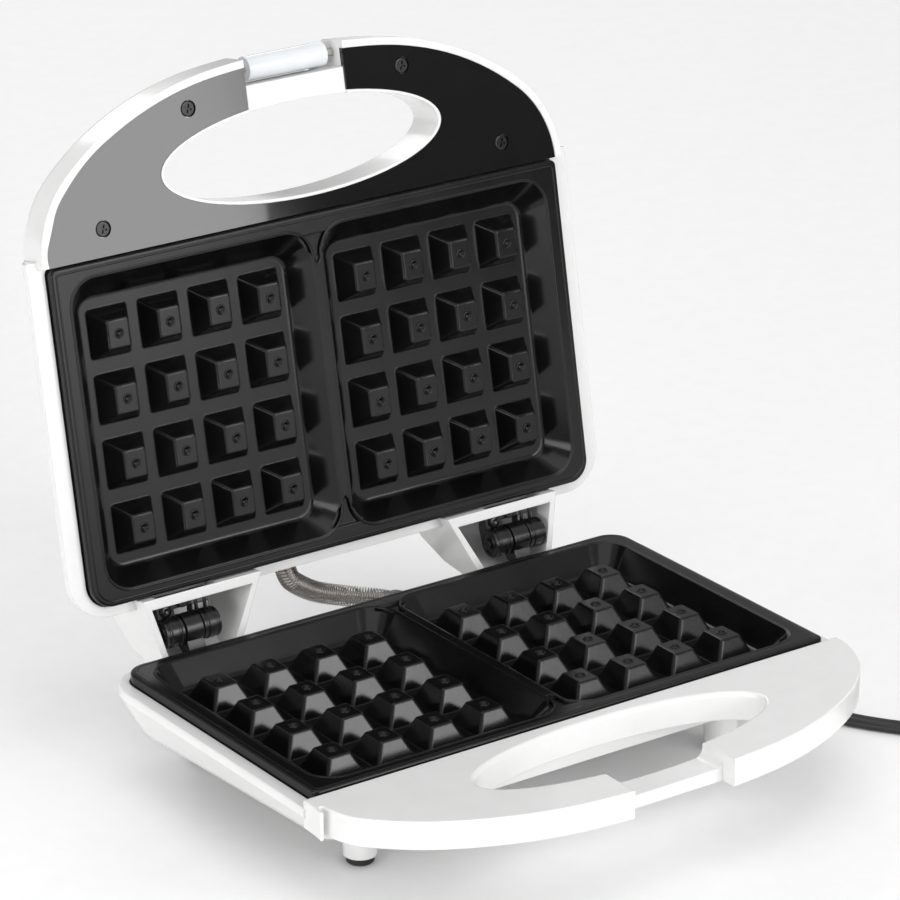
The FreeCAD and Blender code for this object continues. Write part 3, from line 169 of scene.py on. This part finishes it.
def moulded(name, c0, c1, r0, r1, grain=900.0, grain_d=0.00004, flow=14.0, flow_d=0.0006, spec=0.5, coat=0.0, coat_rough=0.05, sss=0.0, edge=0.0):
    """Moulded plastic or rubber: large soft flow marks, a fine skin, patchy gloss."""
    mt, nt, p = new_mat(name)
    big = noise(nt, flow, 3.0, 0.5)
    mid = noise(nt, 90.0, 4.0, 0.6)
    fine = noise(nt, grain, 3.0, 0.65)
    finish_mat(nt, p, tint(nt, mid, c0, c1), ramp(nt, big, r0, r1),
               bump(nt, [(big, 0.25, flow_d), (fine, 0.35, grain_d)], edge))
    p.inputs["Specular IOR Level"].default_value = spec
    p.inputs["Coat Weight"].default_value = coat
    p.inputs["Coat Roughness"].default_value = coat_rough
    if sss:
        p.inputs["Subsurface Weight"].default_value = sss
        p.inputs["Subsurface Radius"].default_value = (0.004, 0.0035, 0.003)
        p.inputs["Subsurface Scale"].default_value = 0.4
    return mt


MAT = {}
MAT["shell_white"] = moulded("shell_white", (0.80, 0.80, 0.795), (0.83, 0.83, 0.825), 0.16, 0.24, grain=700.0, grain_d=0.00002, flow=9.0, flow_d=0.0009, coat=0.35, coat_rough=0.06, sss=0.05, edge=0.0006)
MAT["latch_white"] = moulded("latch_white", (0.72, 0.74, 0.765), (0.76, 0.78, 0.80), 0.20, 0.30, grain=700.0, grain_d=0.00002, flow=16.0, flow_d=0.0004, coat=0.3, coat_rough=0.08, sss=0.05)
MAT["cover_black"] = moulded("cover_black", (0.0035, 0.0035, 0.004), (0.0055, 0.0055, 0.006), 0.05, 0.11, grain=1200.0, grain_d=0.000006, flow=7.0, flow_d=0.0012, coat=1.0, coat_rough=0.02)
MAT["rubber_black"] = moulded("rubber_black", (0.010, 0.010, 0.011), (0.020, 0.020, 0.021), 0.55, 0.75, grain=1400.0, grain_d=0.00006)
MAT["cord_black"] = moulded("cord_black", (0.008, 0.008, 0.009), (0.014, 0.014, 0.015), 0.32, 0.46, grain=1500.0, grain_d=0.00003, flow=40.0, flow_d=0.0003)
MAT["hinge_black"] = moulded("hinge_black", (0.003, 0.003, 0.0035), (0.007, 0.007, 0.008), 0.20, 0.32, grain=1100.0, grain_d=0.00005, flow=60.0, flow_d=0.0003, edge=0.0004)
MAT["screw_black"] = moulded("screw_black", (0.003, 0.003, 0.0035), (0.008, 0.008, 0.009), 0.16, 0.28, grain=2200.0, grain_d=0.00003)
MAT["ceramic_white"] = moulded("ceramic_white", (0.66, 0.64, 0.58), (0.74, 0.72, 0.66), 0.55, 0.75, grain=1600.0, grain_d=0.00008)
MAT["wire_white"] = moulded("wire_white", (0.70, 0.64, 0.62), (0.78, 0.72, 0.70), 0.40, 0.55, grain=1800.0, grain_d=0.00003)


def cast_coating(name="nonstick_plate", edge=0.0009):
    """Black non-stick coating over cast aluminium: orange peel, a fine sparkle of pores."""
    mt, nt, p = new_mat(name)
    big = noise(nt, 22.0, 4.0, 0.6)
    peel = noise(nt, 850.0, 3.0, 0.6)
    pore = noise(nt, 3200.0, 2.0, 0.5)
    finish_mat(nt, p, tint(nt, big, (0.0030, 0.0030, 0.0032), (0.0060, 0.0060, 0.0063)),
               ramp(nt, big, 0.14, 0.20), bump(nt, [(big, 0.2, 0.0004), (peel, 0.16, 0.00005), (pore, 0.25, 0.00002)], edge))
    p.inputs["Specular IOR Level"].default_value = 0.30
    return mt


def metal(name, c0, c1, r0, r1, brush=None, spots=60.0):
    mt, nt, p = new_mat(name)
    mid = noise(nt, spots, 4.0, 0.6)
    if brush:
        tc = nt.nodes.new("ShaderNodeTexCoord")
        mp = nt.nodes.new("ShaderNodeMapping")
        mp.inputs["Scale"].default_value = brush
        nt.links.new(tc.outputs["Object"], mp.inputs["Vector"])
        n = nt.nodes.new("ShaderNodeTexNoise")
        n.inputs["Scale"].default_value = 400.0
        nt.links.new(mp.outputs["Vector"], n.inputs["Vector"])
        fine = n.outputs["Fac"]
    else:
        fine = noise(nt, 1500.0, 3.0, 0.6)
    finish_mat(nt, p, tint(nt, mid, c0, c1), ramp(nt, mid, r0, r1), bump(nt, [(fine, 0.3, 0.00003)]))
    p.inputs["Metallic"].default_value = 1.0
    return mt


MAT["nonstick_plate"] = cast_coating()
MAT["coating_fine"] = cast_coating("coating_fine", 0.0)
MAT["spring_steel"] = metal("spring_steel", (0.26, 0.25, 0.24), (0.40, 0.39, 0.37), 0.18, 0.30)
MAT["plain_steel"] = metal("plain_steel", (0.50, 0.49, 0.47), (0.62, 0.61, 0.59), 0.22, 0.36)
MAT["blade_brass"] = metal("blade_brass", (0.62, 0.52, 0.30), (0.74, 0.64, 0.40), 0.20, 0.34, brush=(1.0, 6.0, 6.0))
MAT["reflector_aluminium"] = metal("reflector_aluminium", (0.72, 0.73, 0.74), (0.82, 0.83, 0.84), 0.30, 0.48, brush=(1.0, 12.0, 1.0))


def clear(name, colour, trans, rough):
    mt, nt, p = new_mat(name)
    mid = noise(nt, 300.0, 3.0, 0.5)
    dark = tuple(c * 0.85 for c in colour)
    finish_mat(nt, p, tint(nt, mid, dark, colour), ramp(nt, mid, rough, rough + 0.08), bump(nt, [(noise(nt, 900.0), 0.2, 0.00003)]))
    p.inputs["Transmission Weight"].default_value = trans
    p.inputs["IOR"].default_value = 1.49
    return mt


MAT["lens_red"] = clear("lens_red", (0.55, 0.01, 0.008), 0.65, 0.08)
MAT["lens_green"] = clear("lens_green", (0.015, 0.38, 0.06), 0.65, 0.08)
MAT["lamp_glass"] = clear("lamp_glass", (0.85, 0.80, 0.72), 0.8, 0.05)

slots = {s["slot"]: s for s in frame["record"]["materials"]}
NODE_SLOT = {s["node"]: s["material_slot"] for s in frame["record"]["subparts"]}


def smooth_cad(o, angle=32.0):
    me = o.data
    me.polygons.foreach_set("use_smooth", np.ones(len(me.polygons), bool))
    me.set_sharp_from_angle(angle=math.radians(angle))


for n, o in NODE.items():
    slot_name = NODE_SLOT.get(n, "shell_white")
    for k in range(len(o.material_slots)):
        o.material_slots[k].link = "OBJECT"
        o.material_slots[k].material = MAT[slot_name]


# ------------------------------------------------------------------ mesh helpers
def new_obj(name, verts, faces, mat, smooth=True, angle=None):
    me = bpy.data.meshes.new(name)
    me.from_pydata([tuple(v) for v in verts], [], faces)
    me.validate()
    me.update()
    o = bpy.data.objects.new(name, me)
    bpy.context.scene.collection.objects.link(o)
    me.materials.append(mat)
    if smooth:
        me.polygons.foreach_set("use_smooth", np.ones(len(me.polygons), bool))
        if angle is not None:
            me.set_sharp_from_angle(angle=math.radians(angle))
    return o


def nurbs(name, pts, bevel=0.0, res=12):
    cu = bpy.data.curves.new(name, "CURVE")
    cu.dimensions = "3D"
    sp = cu.splines.new("NURBS")
    sp.points.add(len(pts) - 1)
    for i, q in enumerate(pts):
        sp.points[i].co = (q[0], q[1], q[2], 1.0)
    sp.order_u = 3
    sp.use_endpoint_u = True
    sp.resolution_u = res
    cu.bevel_depth = bevel
    o = bpy.data.objects.new(name, cu)
    bpy.context.scene.collection.objects.link(o)
    return o


def line_of(curve_obj):
    """The points that a curve with no bevel runs through."""
    bpy.context.view_layer.update()
    dg = bpy.context.evaluated_depsgraph_get()
    me = bpy.data.meshes.new_from_object(curve_obj.evaluated_get(dg))
    pts = [Vector(v.co) for v in me.vertices]
    bpy.data.meshes.remove(me)
    return pts


def frames_along(pts, up=Vector((0, 0, 1))):
    """Tangent, side and up vectors along a polyline, kept as level as the line allows."""
    out = []
    side_last = None
    for i, p in enumerate(pts):
        a = pts[max(0, i - 1)]
        b = pts[min(len(pts) - 1, i + 1)]
        t = (b - a).normalized()
        s = t.cross(up)
        if s.length < 0.15:
            s = side_last if side_last is not None else t.orthogonal()
        s = (s - t * s.dot(t)).normalized()
        if side_last is not None and s.dot(side_last) < 0:
            s = -s
        side_last = s
        out.append((t, s, s.cross(t).normalized()))
    return out


def sweep(name, pts, section, mat, close_ends=True, up=Vector((0, 0, 1))):
    """Sweeps section(u) = list of (side, up) offsets along pts."""
    fr = frames_along(pts, up)
    verts, faces = [], []
    n = None
    for i, (p, (t, s, u)) in enumerate(zip(pts, fr)):
        sec = section(i / (len(pts) - 1))
        n = len(sec)
        for a, b in sec:
            verts.append(p + s * a + u * b)
    for i in range(len(pts) - 1):
        for k in range(n):
            a, b = i * n + k, i * n + (k + 1) % n
            faces.append((a, b, b + n, a + n))
    if close_ends:
        faces.append(tuple(range(n)))
        faces.append(tuple(range((len(pts) - 1) * n, len(pts) * n))[::-1])
    return new_obj(name, verts, faces, mat)


# ------------------------------------------------------------------ power cord
CORD_Z = 1.8
route = [
    (36.0, 90.0, 22.4), (36.3, 104.0, 20.5), (40.0, 117.0, 14.0), (50.0, 127.5, 6.8), (66.0, 133.0, CORD_Z), (86.0, 131.0, CORD_Z),
    (104.5, 121.5, CORD_Z), (119.5, 106.0, CORD_Z), (129.5, 85.0, CORD_Z), (134.0, 61.0, CORD_Z), (133.0, 34.0, CORD_Z),
    (128.6, 5.0, CORD_Z), (125.0, -24.0, CORD_Z), (127.6, -50.5, CORD_Z), (141.0, -72.5, CORD_Z),
]
COIL = (201.0, -84.0)
route.append((156.0, -88.5, CORD_Z))
route.append((169.0, -100.2, CORD_Z))
TH0, TH1 = 232.0, 720.0          # the winding runs counter-clockwise from its inner end
n_turn = 21
for k in range(n_turn + 1):
    th = TH0 + (TH1 - TH0) * k / n_turn
    r = 31.6 + (th - TH0) / (TH1 - TH0) * 12.0
    # low hump where the outer turn passes over the run that comes in
    up = 0.0
    if 520.0 < th < 612.0:
        up = 4.4 * min(1.0, (th - 520.0) / 24.0, (612.0 - th) / 24.0)
    a = math.radians(th)
    route.append((COIL[0] + r * math.cos(a), COIL[1] + r * math.sin(a), CORD_Z + up))
END_A = math.radians(0.0)
P_END = Vector((COIL[0] + 43.5 * math.cos(END_A), COIL[1] + 43.5 * math.sin(END_A)))
T_END = Vector((-math.sin(END_A), math.cos(END_A)))
for far in (14.0, 30.0):
    q = P_END + T_END * far
    route.append((q.x, q.y, CORD_Z if far < 20 else 4.6))
cord_line_obj = nurbs("cord_line", [R(*q) for q in route], res=16)
cord_line = line_of(cord_line_obj)
bpy.data.objects.remove(cord_line_obj)


def flat_pair(w=0.0070, h=0.0035):
    """Section of a two-core flat lead: two round lobes joined by a web."""
    r = h / 2
    c = w / 2 - r
    pts = []
    for k in range(11):
        a = math.radians(-128 + 256 * k / 10)
        pts.append((c + r * math.cos(a), r * math.sin(a)))
    pts.append((0.0, r * 0.52))
    for k in range(11):
        a = math.radians(52 + 256 * k / 10)
        pts.append((-c + r * math.cos(a), r * math.sin(a)))
    pts.append((0.0, -r * 0.52))
    return pts


flat = flat_pair()
power_cord = sweep("lead", cord_line, lambda u: flat, MAT["cord_black"])
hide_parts("power_cord", "cord_coil")
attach(power_cord, "base")

# ------------------------------------------------------------------ beads and dimple rings on the plates
GAP = 3.6
PITCH_X, PITCH_Y, POCKET_X = 21.6, 24.145, 53.65


def low(x, y, zr):
    return B(x, y, zr)


def high(x, y, zr):
    return L(x, y, GAP - zr)


def round_rect(x0, x1, y0, y1, front, behind, arc=8, run=10):
    """Points and outward directions round a rectangle, with its front and back corner radii."""
    out = []
    corners = [(x1 - behind, y1 - behind, behind, 0), (x0 + behind, y1 - behind, behind, 90),
               (x0 + front, y0 + front, front, 180), (x1 - front, y0 + front, front, 270)]
    for k, (cx, cy, r, a0) in enumerate(corners):
        for i in range(arc + 1):
            a = math.radians(a0 + 90 * i / arc)
            out.append(((cx + r * math.cos(a), cy + r * math.sin(a)), (math.cos(a), math.sin(a))))
        nx, ny, nr, na = corners[(k + 1) % 4]
        a = math.radians(na)
        p, q = out[-1][0], (nx + nr * math.cos(a), ny + nr * math.sin(a))
        for i in range(1, run):
            f = i / run
            out.append(((p[0] + (q[0] - p[0]) * f, p[1] + (q[1] - p[1]) * f), out[-1][1]))
    return out


def bead_mesh(loops, place, zr, r, seg=8):
    """Round beads of radius r along closed loops lying at height zr."""
    verts, faces = [], []
    for loop in loops:
        base, n = len(verts), len(loop)
        for (x, y), (nx, ny) in loop:
            for k in range(seg):
                a = 2 * math.pi * k / seg
                verts.append(place(x + nx * r * math.cos(a), y + ny * r * math.cos(a), zr + r * math.sin(a)))
        for i in range(n):
            for k in range(seg):
                k2, i2 = (k + 1) % seg, (i + 1) % n
                faces.append((base + i * seg + k, base + i * seg + k2, base + i2 * seg + k2, base + i2 * seg + k))
    return verts, faces


for body, place in (("base", low), ("lid", high)):
    loops = [round_rect(s * POCKET_X - 51.9, s * POCKET_X + 51.9, -59.4, 57.4, 11.3, 11.3) for s in (-1, 1)]
    loops.append(round_rect(-109.6, 109.6, -62.2, 59.8, 1.6, 7.0))
    v, f = bead_mesh(loops, place, 1.22, 0.55)
    o = new_obj("plate_beads_" + body, v, f, MAT["coating_fine"])
    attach(o, body)
    rings = []
    for s in (-1, 1):
        for i in range(4):
            for j in range(4):
                cx, cy = s * POCKET_X + (i - 1.5) * PITCH_X, (j - 1.5) * PITCH_Y
                rings.append([((cx + 1.62 * math.cos(2 * math.pi * k / 22), cy + 1.62 * math.sin(2 * math.pi * k / 22)),
                               (math.cos(2 * math.pi * k / 22), math.sin(2 * math.pi * k / 22))) for k in range(22)])
    v, f = bead_mesh(rings, place, 0.02, 0.36)
    o = new_obj("dimple_rings_" + body, v, f, MAT["coating_fine"])
    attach(o, body)

# ------------------------------------------------------------------ spring guard with its wires
guard_pts = [L(-24.0, 64.2, 13.0), L(-23.4, 71.0, 12.6), B(-17.0, 91.0, 1.0), B(-6.0, 95.0, -6.5), B(7.5, 92.5, -10.6),
             B(18.6, 84.6, -12.0), B(22.0, 75.0, -12.0), B(22.0, 63.8, -12.0)]
guard_obj = nurbs("guard_line", guard_pts, res=24)
guard_line = line_of(guard_obj)
bpy.data.objects.remove(guard_obj)
g_len = [0.0]
for i in range(1, len(guard_line)):
    g_len.append(g_len[-1] + (guard_line[i] - guard_line[i - 1]).length)
g_frames = frames_along(guard_line, Vector((0.15, 0.1, 1.0)).normalized())


def on_guard(d):
    """Point, side and up vectors at a distance along the guard."""
    d = min(max(d, 0.0), g_len[-1])
    i = int(np.searchsorted(g_len, d, side="right")) - 1
    i = min(max(i, 0), len(guard_line) - 2)
    f = (d - g_len[i]) / max(g_len[i + 1] - g_len[i], 1e-9)
    s0, s1 = g_frames[i][1], g_frames[i + 1][1]
    side = (s0 * (1 - f) + s1 * f).normalized()
    up0, up1 = g_frames[i][2], g_frames[i + 1][2]
    up = (up0 * (1 - f) + up1 * f).normalized()
    return guard_line[i].lerp(guard_line[i + 1], f), side, up


print("guard length %.4f" % g_len[-1])
turns = int(g_len[-1] / 0.00105)
coil_pts = []
for k in range(turns * 18 + 1):
    a = 2 * math.pi * k / 18
    p, side, up = on_guard(g_len[-1] * k / (turns * 18))
    coil_pts.append(p + (side * math.cos(a) + up * math.sin(a)) * 0.00385)
wire_r = 0.00027
wire_ring = [(wire_r * math.cos(2 * math.pi * k / 6), wire_r * math.sin(2 * math.pi * k / 6)) for k in range(6)]
cv, cf = [], []
for k, p in enumerate(coil_pts):
    q = coil_pts[min(k + 1, len(coil_pts) - 1)] - coil_pts[max(k - 1, 0)]
    t = q.normalized()
    centre, side, up = on_guard(g_len[-1] * k / (turns * 18))
    out = (p - centre)
    out = (out - t * out.dot(t)).normalized()
    lat = t.cross(out)
    for a, b in wire_ring:
        cv.append(p + out * a + lat * b)
for k in range(len(coil_pts) - 1):
    for m2 in range(6):
        n2 = (m2 + 1) % 6
        cf.append((k * 6 + m2, k * 6 + n2, (k + 1) * 6 + n2, (k + 1) * 6 + m2))
cf.append(tuple(range(6))[::-1])
cf.append(tuple(range((len(coil_pts) - 1) * 6, len(coil_pts) * 6)))
spring = new_obj("guard_coil", cv, cf, MAT["spring_steel"])
wv, wf = [], []
for w in range(3):
    start = len(wv)
    for k in range(61):
        p, side, up = on_guard(g_len[-1] * k / 60)
        tw = 2 * math.pi * w / 3 + 1.6 * math.pi * k / 60
        c = p + (side * math.cos(tw) + up * math.sin(tw)) * 0.00150
        for j in range(10):
            a = 2 * math.pi * j / 10
            wv.append(c + (side * math.cos(a) + up * math.sin(a)) * 0.00122)
    for k in range(60):
        for j in range(10):
            j2 = (j + 1) % 10
            wf.append((start + k * 10 + j, start + k * 10 + j2, start + (k + 1) * 10 + j2, start + (k + 1) * 10 + j))
    wf.append(tuple(start + j for j in range(10))[::-1])
    wf.append(tuple(start + 600 + j for j in range(10)))
cores = new_obj("guard_cores", wv, wf, MAT["wire_white"])
for o, node, slot_name in ((spring, "spring_guard", "plain_steel"), (cores, "guard_wires", "wire_white")):
    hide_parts(node)
    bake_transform(o)

# ------------------------------------------------------------------ lid hinge brackets
HINGE_X, HINGE_ZR = 73.9, HZ - H0
LUG = [(3.95, 0.0), (3.95, 5.2), (4.25, 5.75), (5.3, 5.75), (5.5, 5.3), (6.3, 5.3), (6.5, 5.75), (9.5, 5.75), (9.7, 5.3),
       (10.4, 5.3), (10.6, 5.6), (11.3, 5.6), (11.65, 5.2), (11.65, 4.2), (11.2, 3.9), (11.2, 3.0), (11.65, 2.8), (11.65, 2.05), (11.3, 1.9), (11.3, 0.0)]


def turned(bm_, prof, xc, sgn, seg=44):
    """A profile of (distance along x, radius) turned round the hinge line."""
    rings = []
    for px, r in prof:
        if r < 1e-6:
            rings.append([bm_.verts.new(L(xc + sgn * px, HY, HINGE_ZR))])
        else:
            rings.append([bm_.verts.new(L(xc + sgn * px, HY + r * math.cos(2 * math.pi * k / seg), HINGE_ZR + r * math.sin(2 * math.pi * k / seg))) for k in range(seg)])
    for a, b in zip(rings, rings[1:]):
        for k in range(seg):
            k2 = (k + 1) % seg
            if len(a) == 1:
                bm_.faces.new((a[0], b[k], b[k2]))
            elif len(b) == 1:
                bm_.faces.new((a[k], b[0], a[k2]))
            else:
                bm_.faces.new((a[k], b[k], b[k2], a[k2]))


def prism(bm_, poly, x0, x1):
    """A side outline of (y, zr) points carried from x0 to x1."""
    lo_ = [bm_.verts.new(L(x0, y, zr)) for y, zr in poly]
    hi_ = [bm_.verts.new(L(x1, y, zr)) for y, zr in poly]
    n = len(poly)
    for k in range(n):
        k2 = (k + 1) % n
        bm_.faces.new((lo_[k], lo_[k2], hi_[k2], hi_[k]))
    bm_.faces.new(lo_[::-1])
    bm_.faces.new(hi_)


def from_bm(name, bm_, mat, bevel=0.0):
    bmesh.ops.recalc_face_normals(bm_, faces=bm_.faces)
    me = bpy.data.meshes.new(name)
    bm_.to_mesh(me)
    bm_.free()
    o = bpy.data.objects.new(name, me)
    bpy.context.scene.collection.objects.link(o)
    me.materials.append(mat)
    me.polygons.foreach_set("use_smooth", np.ones(len(me.polygons), bool))
    me.set_sharp_from_angle(angle=math.radians(35))
    if bevel:
        md = o.modifiers.new("soft_edges", "BEVEL")
        md.width = bevel
        md.segments = 2
        md.limit_method = "ANGLE"
        md.angle_limit = math.radians(40)
        md.harden_normals = False
    return o


for side_name, sx in (("left", -1), ("right", 1)):
    hc = sx * HINGE_X
    bm1 = bmesh.new()
    turned(bm1, LUG, hc, 1)
    turned(bm1, LUG, hc, -1)
    lugs = from_bm("hinge_lugs_" + side_name, bm1, MAT["hinge_black"])
    bm2 = bmesh.new()
    arm = [(64.0, 5.0), (71.4, 5.0), (75.2, HINGE_ZR - 0.4), (80.2, HINGE_ZR + 3.6), (78.6, HINGE_ZR + 5.4), (72.0, 9.4), (64.0, 8.2)]
    for a, b in ((-11.5, -4.1), (4.1, 11.5)):
        prism(bm2, arm, hc + a, hc + b)
    prism(bm2, [(64.0, 5.05), (69.4, 5.05), (69.4, 8.0), (64.0, 8.0)], hc - 11.5, hc + 11.5)
    # raised screw pad and two stiffening ribs on the side that faces the base
    prism(bm2, [(65.6, 3.5), (71.9, 3.5), (72.6, 5.4), (65.2, 5.4)], hc - 11.9, hc - 4.3)
    prism(bm2, [(66.0, 4.3), (71.4, 4.3), (71.9, 5.2), (65.6, 5.2)], hc + 5.2, hc + 6.4)
    prism(bm2, [(66.0, 4.3), (71.4, 4.3), (71.9, 5.2), (65.6, 5.2)], hc + 9.0, hc + 10.2)
    leaf = from_bm("hinge_leaf_" + side_name, bm2, MAT["hinge_black"], 0.00035)
    bm3 = bmesh.new()
    head = [(0.0, 2.55), (-0.55, 2.5), (-1.0, 2.0), (-1.15, 1.2)]
    seg = 28
    rings = [[bm3.verts.new(L(hc - 8.1 + r * math.cos(2 * math.pi * k / seg), 68.8 + r * math.sin(2 * math.pi * k / seg), 3.55 + dz)) for k in range(seg)] for dz, r in head]
    for a, b in zip(rings, rings[1:]):
        for k in range(seg):
            bm3.faces.new((a[k], a[(k + 1) % seg], b[(k + 1) % seg], b[k]))
    # the middle of the head is a plain sunk dish
    sunk = bm3.verts.new(L(hc - 8.1, 68.8, 3.55 - 0.45))
    inner = rings[-1]
    for k in range(seg):
        bm3.faces.new((inner[k], inner[(k + 1) % seg], sunk))
    bm3.faces.new(rings[0][::-1])
    screw_head = from_bm("hinge_pad_screw_" + side_name, bm3, MAT["screw_black"])
    for o in (lugs, leaf, screw_head):
        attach(o, "lid")
    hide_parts("hinge_lid_" + side_name)
    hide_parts("hinge_lid_" + side_name)

# ------------------------------------------------------------------ floor, light
floor_mat = moulded("floor_pale", (0.93, 0.93, 0.93), (0.95, 0.95, 0.95), 0.75, 0.85, grain=300.0, grain_d=0.00001, flow=2.0, flow_d=0.0001, spec=0.2)
fm = bpy.data.meshes.new("floor")
bm = bmesh.new()
bmesh.ops.create_circle(bm, cap_ends=True, radius=3.2, segments=96)
bm.to_mesh(fm)
bm.free()
floor = bpy.data.objects.new("floor", fm)
bpy.context.scene.collection.objects.link(floor)
fm.materials.append(floor_mat)
floor.location.z = -0.0002


def area(name, loc, look, size, size_y, power, colour=(1, 1, 1)):
    li = bpy.data.lights.new(name, "AREA")
    li.shape = "RECTANGLE"
    li.size, li.size_y = size, size_y
    li.energy = power
    li.color = colour
    o = bpy.data.objects.new(name, li)
    bpy.context.scene.collection.objects.link(o)
    o.location = loc
    d = Vector(look) - Vector(loc)
    o.rotation_mode = "QUATERNION"
    o.rotation_quaternion = d.to_track_quat("-Z", "Y")
    return o


area("soft_front", (0.62, -2.5, 0.85), (0.0, 0.0, 0.10), 1.75, 1.7, 34.0)
area("soft_key", (1.17, -2.03, 0.90), (0.0, 0.0, 0.05), 0.5, 0.45, 4.8)
area("soft_left", (-2.2, -0.5, 0.42), (0.0, 0.0, 0.03), 1.8, 0.8, 22.0)
area("soft_top", (-0.5, -0.6, 2.3), (0.0, 0.0, 0.05), 2.2, 2.2, 16.0)
area("soft_back", (0.8, 2.4, 1.6), (0.0, 0.0, 0.10), 1.6, 1.6, 16.0)

world = bpy.data.worlds.new("world")
bpy.context.scene.world = world
world.use_nodes = True
wn = world.node_tree
bg = wn.nodes["Background"]
tc = wn.nodes.new("ShaderNodeTexCoord")
sep = wn.nodes.new("ShaderNodeSeparateXYZ")
wn.links.new(tc.outputs["Generated"], sep.inputs[0])
rp = wn.nodes.new("ShaderNodeValToRGB")
rp.color_ramp.elements[0].position = 0.48
rp.color_ramp.elements[0].color = (0.09, 0.09, 0.09, 1)
rp.color_ramp.elements[1].position = 0.85
rp.color_ramp.elements[1].color = (0.95, 0.95, 0.95, 1)
ml = wn.nodes.new("ShaderNodeMath")
ml.operation = "MULTIPLY_ADD"
ml.inputs[1].default_value = 0.5
ml.inputs[2].default_value = 0.5
wn.links.new(sep.outputs["Z"], ml.inputs[0])
wn.links.new(ml.outputs[0], rp.inputs["Fac"])
wn.links.new(rp.outputs["Color"], bg.inputs["Color"])
bg.inputs["Strength"].default_value = 0.66
bpy.context.scene.view_settings.view_transform = "Standard"
bpy.context.scene.view_settings.look = "None"
bpy.context.scene.view_settings.exposure = 0.0

for n, o in NODE.items():
    if not o.hide_render:
        smooth_cad(o)
